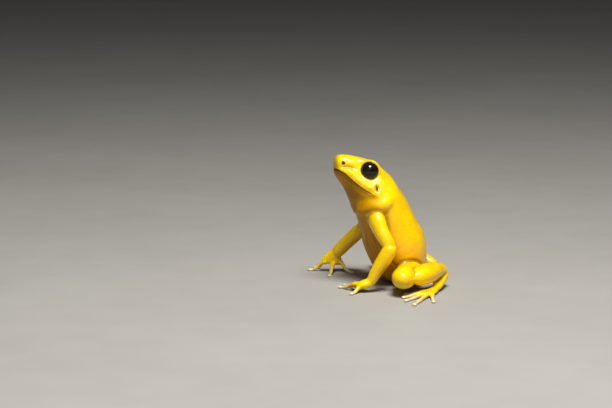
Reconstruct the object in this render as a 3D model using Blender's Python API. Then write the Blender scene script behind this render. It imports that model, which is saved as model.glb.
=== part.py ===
"""Golden poison frog sitting upright on its haunches, life size, as a still model.

The frog faces +X, its left side is +Y and up is +Z. The floor is Z = 0, and the origin is on the
small flat under its rump. Every named piece of the animal is one closed solid: the pieces meet face
to face, a thin gap apart. Sizes and tables are in millimetres, and MM turns them into metres.
"""
import math

import bmesh
import bpy
import numpy as np
from mathutils import Matrix, Vector

MM = 0.001
GAP = 0.3

# Head: its own measures run back from the tip of the mouth, and up from the head's axis there.
MOUTH_TIP = (22.8, 34.3)
HEAD_PITCH = math.radians(34.0)
HEAD_YAW = math.radians(10.0)
HEAD_ROLL = math.radians(7.0)
NECK_PIVOT = (8.0, 0.0, 26.0)
NECK_ROW = 10.5
NECK_HALF_GAP = 0.055

EYE_RADIUS = 2.75
EYE_PLACE = (7.8, 4.4, 4.3)
EYE_LOOK = (-0.30, 0.18, 0.94)
LID_THICKNESS = 0.65
LID_RISE = 0.85
MOUTH_GROOVE = 0.34
MOUTH_CORNER = 11.9
MOUTH_START, MOUTH_END = 1.8, 9.0
NOSTRIL_PLACE = (0.2, 2.2)
NOSTRIL_RADIUS = 0.42
EARDRUM_PLACE = (11.6, 1.2)
EARDRUM_RADIUS = 1.15
EARDRUM_SUNK = 0.25


def head_point(along, above):
    """Side-view place (x, z) that lies this far back along the head's axis and above it."""
    c, s = math.cos(HEAD_PITCH), math.sin(HEAD_PITCH)
    return MOUTH_TIP[0] - c * along - s * above, MOUTH_TIP[1] - s * along + c * above


# Rows of the head and trunk, snout to rump: back (x, z), belly (x, z), half width, height of the
# widest line, roundness of the upper and lower half, and share of the head's yaw and roll.
BODY_ROWS = (
    (*head_point(-1.75, 2.9), *head_point(-1.70, 2.4), 0.25, 0.50, 2.0, 2.0, 1.0),
    (*head_point(-1.60, 3.6), *head_point(-1.10, 1.1), 2.0, 0.47, 2.3, 2.1, 1.0),
    (*head_point(-0.95, 4.3), *head_point(-0.35, -0.4), 3.0, 0.38, 2.4, 2.0, 1.0),
    (*head_point(0.90, 5.35), *head_point(0.70, -1.5), 3.8, 0.31, 2.5, 1.75, 1.0),
    (*head_point(2.80, 6.1), *head_point(2.70, -2.4), 4.5, 0.30, 2.5, 1.6, 1.0),
    (*head_point(5.00, 6.9), *head_point(4.70, -3.2), 5.2, 0.30, 2.5, 1.55, 1.0),
    (*head_point(7.40, 7.5), *head_point(6.60, -4.3), 5.8, 0.32, 2.3, 1.55, 1.0),
    (*head_point(9.80, 7.7), *head_point(8.40, -5.6), 6.5, 0.36, 2.2, 1.6, 1.0),
    (*head_point(12.40, 7.4), *head_point(10.10, -6.8), 7.2, 0.42, 2.1, 1.7, 0.9),
    (*head_point(15.20, 6.9), *head_point(11.60, -7.9), 7.9, 0.49, 2.1, 1.85, 0.7),
    (4.6, 28.6, 17.1, 21.4, 8.2, 0.52, 2.1, 2.0, 0.45),
    (2.6, 25.7, 16.1, 19.0, 8.4, 0.52, 2.1, 2.0, 0.2),
    (0.8, 22.4, 15.1, 15.6, 8.7, 0.50, 2.1, 2.1, 0.0),
    (-1.0, 19.0, 14.0, 11.4, 9.2, 0.48, 2.1, 2.1, 0.0),
    (-2.9, 15.7, 12.2, 7.2, 9.4, 0.47, 2.1, 2.2, 0.0),
    (-3.8, 12.3, 9.4, 2.9, 8.9, 0.47, 2.1, 2.2, 0.0),
    (-4.2, 8.8, 5.3, -0.3, 7.6, 0.48, 2.1, 2.2, 0.0),
    (-4.4, 5.9, 0.6, -0.8, 5.4, 0.50, 2.1, 2.0, 0.0),
    (-4.3, 4.1, -2.3, 0.9, 2.8, 0.50, 2.0, 2.0, 0.0),
    (-4.1, 3.2, -3.6, 2.4, 0.3, 0.50, 2.0, 2.0, 0.0),
)

# How high the mouth line runs above the head's axis, at a few places back along it.
MOUTH_ROWS = ((-1.5, -0.15), (0.4, -0.35), (2.0, -0.18), (3.3, -0.48), (4.8, -0.82), (7.7, -1.22),
              (9.3, -1.36), (11.6, -1.12), (15.0, -0.9))

# The soft lobe of skin behind the jaw: place along the body's rows, angle in degrees from the back,
# depth of its middle under the skin, and radius. On the right it starts at a later row, because
# the turned head pulls the throat tight there.
LOBE_ROWS = ((8.5, 158, 1.6, 1.8), (9.15, 145, 1.6, 2.5), (9.75, 127, 1.8, 2.9), (10.05, 107, 1.9, 3.0),
             (10.0, 88, 2.0, 2.8), (9.6, 71, 2.1, 2.2), (9.1, 58, 1.9, 1.4))
LOBE_START = {"left": 0, "right": 2}

# Rows along each limb piece: x, y, z of the middle, half width and half thickness there. The
# thickness is measured towards the direction that stands after the rows.
FORWARD, UPWARD, INWARD = (1.0, 0.0, 0.0), (0.0, 0.0, 1.0), (0.35, 0.90, 0.25)
LEFT_LIMBS = {
    "left_upper_arm": ((
        (12.5, 4.0, 21.3, 2.2, 2.0), (13.4, 6.8, 20.2, 2.9, 2.4), (13.0, 9.2, 17.3, 2.4, 2.2),
        (11.9, 11.4, 14.4, 2.05, 2.0), (11.4, 12.2, 12.9, 1.7, 1.7), (11.2, 12.5, 11.9, 0.7, 0.7),
    ), FORWARD),
    "left_forearm": ((
        (11.2, 12.6, 13.9, 1.0, 1.0), (11.5, 12.5, 12.8, 2.0, 2.0), (13.0, 11.8, 9.8, 2.2, 2.1),
        (15.0, 10.9, 6.1, 1.8, 1.8), (16.3, 10.3, 3.4, 1.5, 1.4), (17.0, 10.0, 2.0, 0.9, 0.8),
    ), FORWARD),
    "left_hand": ((
        (16.0, 10.5, 3.2, 1.2, 1.1), (17.1, 9.8, 2.6, 1.9, 1.4), (18.4, 9.0, 2.1, 2.3, 1.3),
        (19.6, 8.3, 1.6, 2.1, 1.0), (20.2, 8.0, 1.4, 1.1, 0.6),
    ), UPWARD),
    "left_thigh": ((
        (-0.6, 1.4, 5.0, 1.6, 1.6), (1.0, 4.2, 4.9, 3.1, 2.9), (3.8, 8.8, 4.8, 3.7, 3.2),
        (7.1, 14.0, 4.9, 3.7, 3.2), (9.9, 18.5, 5.2, 3.4, 3.1), (11.3, 20.8, 5.3, 2.2, 2.1),
        (11.9, 21.7, 5.3, 0.6, 0.6),
    ), UPWARD),
    "left_shank": ((
        (9.0, 20.0, 5.2, 0.7, 0.7), (7.6, 19.4, 5.2, 1.5, 1.4), (5.0, 18.0, 5.3, 2.9, 2.6),
        (1.0, 15.4, 5.5, 3.1, 2.9), (-3.0, 12.2, 5.4, 2.4, 2.4), (-5.7, 10.4, 5.0, 1.7, 1.7),
        (-6.9, 9.6, 4.8, 0.7, 0.7),
    ), UPWARD),
    "left_tarsus": ((
        (-6.9, 9.6, 4.6, 0.7, 0.7), (-6.2, 10.4, 3.8, 1.5, 1.3), (-4.1, 12.9, 2.4, 1.5, 1.2),
        (-1.7, 15.6, 1.4, 1.5, 1.1), (-0.2, 17.3, 1.0, 0.9, 0.6),
    ), UPWARD),
    "left_foot": ((
        (-1.4, 16.4, 1.3, 0.9, 0.7), (0.3, 18.0, 1.0, 1.5, 0.85), (2.3, 19.7, 0.85, 1.9, 0.85),
        (4.2, 21.1, 0.75, 2.1, 0.75), (5.2, 21.8, 0.7, 1.1, 0.5),
    ), UPWARD),
}
RIGHT_LIMBS = {
    "right_upper_arm": ((
        (12.4, -4.4, 22.6, 2.5, 2.5), (11.9, -7.2, 21.4, 2.3, 2.3), (10.6, -10.2, 18.3, 2.0, 2.0),
        (9.3, -12.8, 15.6, 2.0, 2.0), (8.7, -13.8, 14.5, 1.7, 1.7), (8.4, -14.3, 13.8, 0.7, 0.7),
    ), FORWARD),
    "right_forearm": ((
        (8.2, -13.4, 15.4, 1.0, 1.0), (8.8, -14.1, 14.5, 1.9, 1.9), (10.9, -16.2, 11.8, 2.1, 2.1),
        (13.2, -18.5, 8.6, 2.0, 2.0), (15.0, -20.1, 6.2, 1.9, 1.8), (15.8, -20.8, 5.2, 1.2, 1.1),
    ), FORWARD),
    "right_hand": ((
        (15.2, -20.5, 6.2, 1.4, 1.2), (15.8, -20.6, 5.2, 2.0, 1.3), (16.3, -20.6, 4.0, 2.9, 1.2),
        (16.6, -20.6, 2.9, 3.5, 1.0), (16.7, -20.6, 2.2, 2.3, 0.6),
    ), INWARD),
    "right_thigh": ((
        (-1.4, -1.2, 5.5, 1.6, 1.6), (-0.9, -4.2, 5.6, 3.1, 3.1), (-0.1, -8.8, 5.8, 3.7, 3.5),
        (0.8, -14.4, 6.0, 3.7, 3.5), (1.6, -18.8, 6.2, 3.1, 3.0), (2.0, -21.2, 6.2, 2.0, 2.0),
        (2.2, -22.0, 6.2, 0.6, 0.6),
    ), UPWARD),
    "right_shank": ((
        (2.2, -21.2, 6.0, 0.8, 0.8), (0.8, -19.8, 5.8, 2.1, 2.1), (-2.4, -16.6, 5.5, 2.8, 2.7),
        (-5.8, -13.2, 5.0, 2.8, 2.7), (-8.8, -10.1, 3.9, 2.1, 2.1), (-10.8, -7.9, 2.6, 1.7, 1.7),
        (-11.8, -6.9, 2.2, 0.7, 0.7),
    ), UPWARD),
    "right_tarsus": ((
        (-12.3, -6.8, 1.9, 0.7, 0.7), (-11.8, -8.2, 1.6, 1.4, 1.2), (-9.9, -11.6, 1.2, 1.5, 1.1),
        (-7.7, -15.0, 1.1, 1.5, 1.0), (-6.7, -16.7, 0.9, 0.9, 0.6),
    ), UPWARD),
    "right_foot": ((
        (-7.6, -15.2, 1.1, 0.9, 0.7), (-6.6, -17.1, 0.95, 1.5, 0.85), (-5.4, -19.4, 0.85, 1.9, 0.85),
        (-4.4, -21.4, 0.75, 2.1, 0.75), (-3.9, -22.5, 0.7, 1.1, 0.5),
    ), UPWARD),
}

# What each limb piece is parted from: the pieces that keep their full shape where they meet.
MEETS = {
    "upper_arm": ("body", "lobe"), "forearm": ("upper_arm", "body"), "hand": ("forearm",),
    "thigh": ("body",), "shank": ("thigh", "body"), "tarsus": ("shank", "thigh"),
    "foot": ("tarsus", "shank"),
}

# Digits of each hand and foot, first to last: the root's place, the heading in degrees from +X
# towards +Y, and the free length. Every tip lies on the floor.
DISC_LENGTH = 1.5
TIP_HEIGHT = 0.36
DIGITS = {
    "left_finger": (((18.0, 8.2, 2.1), -105, 6.6), ((19.2, 7.8, 2.0), -80, 8.6),
                    ((19.7, 8.2, 1.8), -62, 7.4), ((19.2, 9.4, 1.7), 32, 5.2)),
    "right_finger": (((15.0, -20.2, 3.1), 125, 5.6), ((16.5, -20.1, 2.7), 61, 8.2),
                     ((18.3, -21.2, 3.0), -33, 5.8), ((17.8, -21.7, 3.7), -72, 6.4)),
    "left_toe": (((3.1, 18.9, 0.85), -8, 6.5), ((3.3, 19.5, 0.85), 12, 8.3), ((3.2, 20.1, 0.85), 31, 10.7),
                 ((2.8, 20.6, 0.85), 49, 14.0), ((2.1, 20.7, 0.85), 70, 9.6)),
    "right_toe": (((-4.4, -19.1, 0.85), -22, 6.4), ((-4.6, -19.8, 0.85), -40, 8.3),
                  ((-5.0, -20.2, 0.85), -58, 10.6), ((-5.5, -20.3, 0.85), -75, 13.9),
                  ((-6.1, -20.1, 0.85), -96, 9.7)),
}
# The hand or foot that each group of digits grows from.
CARRIERS = {"left_finger": "left_hand", "right_finger": "right_hand", "left_toe": "left_foot",
            "right_toe": "right_foot"}

FLOOR_BLOCK = (120.0, 120.0, 30.0)
SHARP_ANGLE = math.radians(40.0)

# How finely the pieces are faceted.
BODY_SIDES, HEAD_RINGS, TORSO_RINGS = 30, 30, 24
LIMB_SIDES, LOBE_RINGS, DIGIT_SIDES, DIGIT_RINGS = 12, 13, 8, 12
GROOVE_POINTS = 26

COLOURS = {
    "skin": ((0.95, 0.62, 0.01), 0.32), "digit": ((0.86, 0.72, 0.28), 0.38),
    "eye": ((0.012, 0.010, 0.009), 0.06), "eardrum": ((0.55, 0.33, 0.01), 0.36),
}


def spline(rows, places):
    """Rows read between the given ones: a Catmull-Rom curve through them, at fractional places."""
    table = np.asarray(rows, float)
    last = len(table) - 1
    first = np.clip(np.floor(places).astype(int), 0, last - 1)
    f = (places - first)[:, None]
    p1, p2 = table[first], table[first + 1]
    p0 = np.where((first == 0)[:, None], 2 * p1 - p2, table[np.maximum(first - 1, 0)])
    p3 = np.where((first == last - 1)[:, None], 2 * p2 - p1, table[np.minimum(first + 2, last)])
    bend = 2 * p0 - 5 * p1 + 4 * p2 - p3
    return 0.5 * (2 * p1 + (p2 - p0) * f + bend * f**2 + (3 * p1 - p0 - 3 * p2 + p3) * f**3)


def straight_body(places, angles):
    """Body surface before the head turns: angle 0 is the back, 90 degrees the left side."""
    rows = spline(BODY_ROWS, places)
    back, belly, half_width, widest, upper, lower = (
        rows[:, 0:2], rows[:, 2:4], rows[:, 4:5], rows[:, 5:6], rows[:, 6:7], rows[:, 7:8])
    across, along = np.sin(angles)[None, :], np.cos(angles)[None, :]
    power = 2.0 / np.where(along >= 0, upper, lower)
    side = half_width * np.sign(across) * np.abs(across)**power
    reach = np.where(along >= 0, 1 - widest, widest)
    height = widest + reach * np.sign(along) * np.abs(along)**power
    middle = belly[:, None, :] + height[..., None] * (back - belly)[:, None, :]
    return np.stack([middle[..., 0], side, middle[..., 1]], -1)


def turn_head(point, share):
    """One point turned with the head, by this share of its roll and yaw."""
    forward = Vector((math.cos(HEAD_PITCH), 0.0, math.sin(HEAD_PITCH)))
    roll = Matrix.Rotation(HEAD_ROLL * share, 4, forward)
    yaw = Matrix.Rotation(-HEAD_YAW * share, 4, "Z")
    pivot = Vector(NECK_PIVOT)
    return yaw @ (roll @ (Vector(point) - pivot)) + pivot


def body_rings(places, sides):
    """Rings of turned points around the body, one at each place along its rows."""
    angles = np.linspace(0.0, 2 * math.pi, sides, endpoint=False)
    points = straight_body(places, angles)
    shares = spline(BODY_ROWS, places)[:, 8]
    return [[turn_head(point, share) for point in ring] for ring, share in zip(points, shares)]


def limb_rings(rows, thick, count, sides):
    """Elliptic rings along a curved middle line, with their thickness towards one direction."""
    table = spline(rows, np.linspace(0.0, len(rows) - 1, count))
    middles = [Vector(row[:3]) for row in table]
    rings = []
    for i, middle in enumerate(middles):
        run = (middles[min(i + 1, count - 1)] - middles[max(i - 1, 0)]).normalized()
        up = Vector(thick)
        up = (up - up.dot(run) * run).normalized()
        side = run.cross(up)
        turns = [2 * math.pi * k / sides for k in range(sides)]
        half_width, half_thickness = table[i][3], table[i][4]
        rings.append([middle + side * (half_width * math.sin(a)) + up * (half_thickness * math.cos(a))
                      for a in turns])
    return rings


def digit_rows(root, heading, length):
    """Rows of one finger or toe: it leaves the root, arches over one joint and ends in a disc.

    A row of the shaft has its share of the way to the neck of the disc, its share of the fall, the
    half width and the half thickness. A row of the disc has its distance from the tip, as a share
    of the disc's length, in the first place.
    """
    run = Vector((math.cos(heading), math.sin(heading), 0.0))
    base = Vector(root)
    drop = base.z - TIP_HEIGHT
    shaft = ((0.00, 0.00, 1.00, 0.80), (0.24, 0.09, 0.84, 0.70), (0.41, 0.28, 0.64, 0.58),
             (0.57, 0.54, 0.52, 0.49), (0.71, 0.76, 0.56, 0.52), (0.85, 0.90, 0.46, 0.44))
    disc = ((1.00, 1.00, 0.42, 0.39), (0.50, 1.00, 0.66, 0.42), (0.12, 1.02, 0.56, 0.30),
            (0.00, 1.03, 0.14, 0.10))
    neck = length - DISC_LENGTH
    rows = [(neck * share, *row) for share, *row in shaft]
    rows += [(length - DISC_LENGTH * share, *row) for share, *row in disc]
    return [(*(base + run * way - Vector((0, 0, drop * fall))), wide, thick)
            for way, fall, wide, thick in rows]


def loft(rings, name="solid"):
    """Closed mesh through rings of equal count, each end shut by a fan to its middle."""
    bm = bmesh.new()
    grid = [[bm.verts.new(point * MM) for point in ring] for ring in rings]
    sides = len(grid[0])
    for near, far in zip(grid, grid[1:]):
        for k in range(sides):
            j = (k + 1) % sides
            bm.faces.new((near[k], near[j], far[j], far[k]))
    for ring in (grid[0], grid[-1]):
        hub = bm.verts.new(sum((v.co for v in ring), Vector()) / sides)
        for k in range(sides):
            bm.faces.new((ring[(k + 1) % sides], ring[k], hub))
    bmesh.ops.recalc_face_normals(bm, faces=bm.faces)
    if bm.calc_volume(signed=True) < 0:
        bmesh.ops.reverse_faces(bm, faces=bm.faces)
    mesh = bpy.data.meshes.new(name)
    bm.to_mesh(mesh)
    bm.free()
    return mesh


def ball(middle, radius, segments=20, rings=14):
    """A sphere mesh around a point."""
    bm = bmesh.new()
    bmesh.ops.create_uvsphere(bm, u_segments=segments, v_segments=rings, radius=radius * MM)
    bmesh.ops.translate(bm, verts=bm.verts, vec=Vector(middle) * MM)
    mesh = bpy.data.meshes.new("ball")
    bm.to_mesh(mesh)
    bm.free()
    return mesh


def rod(start, direction, length, radius, segments=24):
    """A cylinder mesh that runs from one point in a direction."""
    way = Vector(direction).normalized()
    middle = Vector(start) + way * (length / 2)
    place = Matrix.Translation(middle * MM) @ way.to_track_quat("Z", "Y").to_matrix().to_4x4()
    bm = bmesh.new()
    bmesh.ops.create_cone(bm, cap_ends=True, segments=segments, radius1=radius * MM,
                          radius2=radius * MM, depth=length * MM, matrix=place)
    mesh = bpy.data.meshes.new("rod")
    bm.to_mesh(mesh)
    bm.free()
    return mesh


def below_floor():
    """A block whose top is the floor, to cut the flats that the frog rests on."""
    bm = bmesh.new()
    bmesh.ops.create_cube(bm, size=1.0)
    bmesh.ops.scale(bm, verts=bm.verts, vec=Vector(FLOOR_BLOCK) * MM)
    bmesh.ops.translate(bm, verts=bm.verts, vec=Vector((0, 0, -FLOOR_BLOCK[2] / 2)) * MM)
    mesh = bpy.data.meshes.new("below_floor")
    bm.to_mesh(mesh)
    bm.free()
    return mesh


def grown(mesh, by=GAP):
    """A copy of a solid with every point moved outwards, so that what it cuts keeps a gap."""
    bm = bmesh.new()
    bm.from_mesh(mesh)
    bm.normal_update()
    for vert in bm.verts:
        vert.co += vert.normal * (by * MM)
    copy = bpy.data.meshes.new("grown")
    bm.to_mesh(copy)
    bm.free()
    return copy


def island_volume(faces):
    """Volume inside a set of faces, by the divergence theorem."""
    total = 0.0
    for face in faces:
        first = face.verts[0].co
        for a, b in zip(face.verts[1:], face.verts[2:]):
            total += first.dot(a.co.cross(b.co)) / 6
    return total


def keep_largest(bm):
    """Delete every closed surface but the one that holds the most."""
    left, islands = set(bm.faces), []
    while left:
        stack, island = [left.pop()], []
        while stack:
            face = stack.pop()
            island.append(face)
            for edge in face.edges:
                for other in edge.link_faces:
                    if other in left:
                        left.remove(other)
                        stack.append(other)
        islands.append(island)
    islands.sort(key=island_volume, reverse=True)
    scraps = [face for island in islands[1:] for face in island]
    if scraps:
        bmesh.ops.delete(bm, geom=scraps, context="FACES")


def shaped(mesh, steps):
    """Mesh after Boolean steps, each (operation, mesh): joined or cut one after the other."""
    holder = bpy.data.objects.new("holder", mesh)
    bpy.context.scene.collection.objects.link(holder)
    for operation, tool_mesh in steps:
        tool = bpy.data.objects.new("tool", tool_mesh)
        bpy.context.scene.collection.objects.link(tool)
        boolean = holder.modifiers.new("shape", "BOOLEAN")
        boolean.operation = operation
        boolean.solver = "EXACT"
        boolean.object = tool
        evaluated = holder.evaluated_get(bpy.context.evaluated_depsgraph_get())
        result = bpy.data.meshes.new_from_object(evaluated)
        holder.modifiers.clear()
        holder.data = result
        bpy.data.objects.remove(tool)
    bm = bmesh.new()
    bm.from_mesh(holder.data)
    bmesh.ops.triangulate(bm, faces=bm.faces)
    keep_largest(bm)
    bm.to_mesh(holder.data)
    bm.free()
    result = holder.data
    bpy.data.objects.remove(holder)
    return result


def material(kind):
    """The plain material of one kind of piece."""
    found = bpy.data.materials.get(kind)
    if found:
        return found
    colour, roughness = COLOURS[kind]
    made = bpy.data.materials.new(kind)
    made.use_nodes = True
    shader = made.node_tree.nodes["Principled BSDF"]
    shader.inputs["Base Color"].default_value = (*colour, 1.0)
    shader.inputs["Roughness"].default_value = roughness
    shader.inputs["Metallic"].default_value = 0.0
    return made


def add_node(name, mesh, kind, parts):
    """The named object of one piece, shaded smooth."""
    mesh.name = name
    mesh.shade_smooth()
    mesh.set_sharp_from_angle(angle=SHARP_ANGLE)
    mesh.materials.clear()
    mesh.materials.append(material(kind))
    parts.objects.link(bpy.data.objects.new(name, mesh))


def skin_spot(place, angle, side):
    """Point and outward direction of the skin at a place along the body's rows and an angle."""
    step = 0.05
    points = straight_body(np.array((place - step, place, place + step)),
                           np.array((angle - step, angle, angle + step)))
    out = Vector(points[2, 1] - points[0, 1]).cross(Vector(points[1, 2] - points[1, 0])).normalized()
    if out.y < 0:
        out = -out
    mirror = Matrix.Diagonal((1.0, side, 1.0))
    share = spline(BODY_ROWS, np.array((place,)))[0, 8]
    spot = turn_head(mirror @ Vector(points[1, 1]), share)
    far = turn_head(mirror @ (Vector(points[1, 1]) + out), share)
    return spot, (far - spot).normalized()


def head_surface(along, above, side):
    """Point and outward direction of the skin at one place in the head's own measures."""
    places = np.linspace(0.5, NECK_ROW, 240)
    angles = np.linspace(0.05, math.pi - 0.05, 240)
    points = straight_body(places, angles)
    goal = np.array(head_point(along, above))
    miss = np.hypot(points[..., 0] - goal[0], points[..., 2] - goal[1])
    i, j = np.unravel_index(np.argmin(miss), miss.shape)
    return skin_spot(places[i], angles[j], side)


def lobe(side_name):
    """The shoulder lobe of one side: a tube laid just under the skin, so that its outer side swells."""
    side = 1 if side_name == "left" else -1
    rows = []
    for place, angle, depth, radius in LOBE_ROWS[LOBE_START[side_name]:]:
        spot, out = skin_spot(place, math.radians(angle), side)
        rows.append((*(spot - out * depth), radius, radius))
    return loft(limb_rings(rows, UPWARD, LOBE_RINGS, LIMB_SIDES))


def mouth_path():
    """Points along the mouth line on the skin, right corner to left corner round the snout."""
    angles = np.linspace(0.0, math.pi, 400)
    places = MOUTH_START + (MOUTH_END - MOUTH_START) * np.linspace(0.0, 1.0, GROOVE_POINTS)**1.6
    points = straight_body(places, angles)
    c, s = math.cos(HEAD_PITCH), math.sin(HEAD_PITCH)
    along = -c * (points[..., 0] - MOUTH_TIP[0]) - s * (points[..., 2] - MOUTH_TIP[1])
    above = -s * (points[..., 0] - MOUTH_TIP[0]) + c * (points[..., 2] - MOUTH_TIP[1])
    level = above - np.interp(along, *np.transpose(MOUTH_ROWS))
    half = []
    for ring, height, back, share in zip(points, level, along, spline(BODY_ROWS, places)[:, 8]):
        k = int(np.argmax(height < 0))
        if height[-1] < 0 < height[0] and back[k] < MOUTH_CORNER:
            part = height[k - 1] / (height[k - 1] - height[k])
            half.append((Vector(ring[k - 1]).lerp(Vector(ring[k]), part), share))
    left = [turn_head(point, share) for point, share in half]
    right = [turn_head((point.x, -point.y, point.z), share) for point, share in half]
    return right[::-1] + left


def mouth_groove():
    """A thin tube along the mouth line, drawn in at the corners, to cut the lips apart."""
    path = mouth_path()
    last = len(path) - 1
    rows = []
    for i, point in enumerate(path):
        radius = MOUTH_GROOVE * min(1.0, 0.35 + 0.2 * min(i, last - i))
        rows.append((*point, radius, radius))
    return loft(limb_rings(rows, UPWARD, len(rows), 6))


def eye_frame(side):
    """Middle of an eye and the direction that it looks in, turned with the head."""
    along, above, out = EYE_PLACE
    x, z = head_point(along, above)
    back, up, lateral = EYE_LOOK
    c, s = math.cos(HEAD_PITCH), math.sin(HEAD_PITCH)
    look = Vector((-c * back - s * up, side * lateral, -s * back + c * up))
    middle = Vector((x, side * out, z))
    turned = turn_head(middle, 1.0)
    return turned, (turn_head(middle + look, 1.0) - turned).normalized()


def head_steps(torso):
    """The joins and cuts that give the head its lobes, lids, sockets, mouth, nostrils and ears."""
    steps = [("UNION", lobe("left")), ("UNION", lobe("right")), ("DIFFERENCE", grown(torso))]
    for side in (1, -1):
        middle, look = eye_frame(side)
        lids = EYE_RADIUS + GAP + LID_THICKNESS
        steps.append(("UNION", ball(middle, lids)))
        steps.append(("DIFFERENCE", rod(middle + look * LID_RISE, look, 4.0, lids + 0.2)))
        steps.append(("DIFFERENCE", ball(middle, EYE_RADIUS + GAP)))
        spot, out = head_surface(*NOSTRIL_PLACE, side)
        steps.append(("DIFFERENCE", ball(spot + out * 0.05, NOSTRIL_RADIUS, 10, 8)))
        spot, out = head_surface(*EARDRUM_PLACE, side)
        floor = spot - out * (EARDRUM_SUNK + 0.8 + GAP)
        steps.append(("DIFFERENCE", rod(floor, out, 4.0, EARDRUM_RADIUS + GAP, 20)))
    steps.append(("DIFFERENCE", mouth_groove()))
    return steps


def build_head(parts):
    """Head, eyes and eardrums."""
    plain = loft(body_rings(np.linspace(0.0, NECK_ROW - NECK_HALF_GAP, HEAD_RINGS), BODY_SIDES))
    add_node("head", shaped(plain, head_steps(plain_torso())), "skin", parts)
    for side, name in ((1, "left"), (-1, "right")):
        middle, _ = eye_frame(side)
        add_node(f"{name}_eye", ball(middle, EYE_RADIUS), "eye", parts)
        spot, out = head_surface(*EARDRUM_PLACE, side)
        drum = rod(spot - out * (EARDRUM_SUNK + 0.8), out, 0.8, EARDRUM_RADIUS, 20)
        add_node(f"{name}_eardrum", drum, "eardrum", parts)


def plain_torso():
    """Trunk from the neck to the rump, before it is cut."""
    last = len(BODY_ROWS) - 1
    return loft(body_rings(np.linspace(NECK_ROW + NECK_HALF_GAP, last, TORSO_RINGS), BODY_SIDES))


def build_torso(parts):
    """The trunk with the flat that it sits on."""
    add_node("torso", shaped(plain_torso(), [("DIFFERENCE", below_floor())]), "skin", parts)


def build_limbs(limbs, side, plain, parts):
    """The pieces of one side's arm and leg, each parted from what it grows from."""
    for name, (rows, thick) in limbs.items():
        count = 2 * len(rows) - 2
        plain[name] = loft(limb_rings(rows, thick, count, LIMB_SIDES))
        steps = []
        for other in MEETS[name[len(side) + 1:]]:
            whole = other if other in plain else f"{side}_{other}"
            steps.append(("DIFFERENCE", grown(plain[whole])))
        steps.append(("DIFFERENCE", below_floor()))
        add_node(name, shaped(plain[name].copy(), steps), "skin", parts)


def build_digits(plain, parts):
    """Fingers and toes, each parted from its hand or foot and laid on the floor."""
    for stem, digits in DIGITS.items():
        earlier = []
        for number, (root, heading, length) in enumerate(digits, 1):
            rows = digit_rows(root, math.radians(heading), length)
            whole = loft(limb_rings(rows, UPWARD, DIGIT_RINGS, DIGIT_SIDES))
            steps = [("DIFFERENCE", grown(plain[CARRIERS[stem]]))]
            steps += [("DIFFERENCE", grown(mesh)) for mesh in earlier]
            steps.append(("DIFFERENCE", below_floor()))
            earlier.append(whole.copy())
            add_node(f"{stem}_{number}", shaped(whole, steps), "digit", parts)


def main():
    """Build every piece of the frog in its own collection."""
    for thing in list(bpy.data.objects):
        bpy.data.objects.remove(thing)
    parts = bpy.data.collections.new("golden_poison_frog")
    bpy.context.scene.collection.children.link(parts)
    build_head(parts)
    build_torso(parts)
    whole = np.linspace(0.0, len(BODY_ROWS) - 1, HEAD_RINGS + TORSO_RINGS)
    plain = {"body": loft(body_rings(whole, BODY_SIDES)), "left_lobe": lobe("left"),
             "right_lobe": lobe("right")}
    build_limbs(LEFT_LIMBS, "left", plain, parts)
    build_limbs(RIGHT_LIMBS, "right", plain, parts)
    build_digits(plain, parts)


main()
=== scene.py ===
# %% [markdown]
# A golden poison frog, life size, sitting upright with its head raised.
#
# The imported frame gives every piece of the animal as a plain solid, each parted from the next by a
# thin gap. A real frog has one moist skin over all of them. This lesson makes that skin: smooth
# forms worked out as whole arrays, fused into one surface, softened where they meet, then creased,
# pitted and coloured. The two eyes stay pieces of their own, because they are wet balls that sit
# in the skin and have their own gloss.

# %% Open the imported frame
import math

import bpy
import numpy as np
from mathutils import Matrix, Vector


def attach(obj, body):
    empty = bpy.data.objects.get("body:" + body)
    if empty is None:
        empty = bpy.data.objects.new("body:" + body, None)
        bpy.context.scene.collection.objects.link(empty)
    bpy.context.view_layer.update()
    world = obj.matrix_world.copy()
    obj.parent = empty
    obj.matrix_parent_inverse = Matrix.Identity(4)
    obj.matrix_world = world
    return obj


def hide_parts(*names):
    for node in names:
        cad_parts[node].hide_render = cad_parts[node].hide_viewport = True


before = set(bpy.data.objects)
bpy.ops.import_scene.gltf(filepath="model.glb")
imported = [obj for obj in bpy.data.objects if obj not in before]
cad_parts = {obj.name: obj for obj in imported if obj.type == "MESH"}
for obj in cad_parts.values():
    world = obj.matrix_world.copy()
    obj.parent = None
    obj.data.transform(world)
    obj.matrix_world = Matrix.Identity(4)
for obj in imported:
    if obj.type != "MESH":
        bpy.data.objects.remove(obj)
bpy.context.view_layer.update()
MM = 0.001
EYE_NODES = {"left": "left_eye", "right": "right_eye"}
FLESH_NODES = [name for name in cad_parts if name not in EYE_NODES.values()]
print("frame:", len(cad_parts), "nodes,", len(FLESH_NODES), "of them flesh")

# %% [markdown]
# Three small rules serve all the shapes. A soft step turns a measure into a mask that goes from 0 to
# 1 with no edge. A bell is 1 on its middle and falls away on both sides. A spline reads smooth rows
# between a few given ones, so that a limb needs only as many rows as it has changes of width.

# %% Soft steps, bells and splines
def soft_step(low, high, value):
    """0 below low, 1 above high, and between them 3 t^2 - 2 t^3 of the share t of the way."""
    t = np.clip((value - low) / (high - low), 0.0, 1.0)
    return t * t * (3.0 - 2.0 * t)


def soft_ends(place, start, end):
    """1 along a line and 0 at its two ends, reached over the shares start and end of its length."""
    return soft_step(0.0, start, place) * soft_step(1.0, 1.0 - end, place)


def bell(value, width):
    """e to the minus (value / width) squared."""
    return np.exp(-(value / width)**2)


def unit(vectors):
    """Each vector divided by its own length."""
    return vectors / np.maximum(np.linalg.norm(vectors, axis=-1, keepdims=True), 1e-12)


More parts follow.
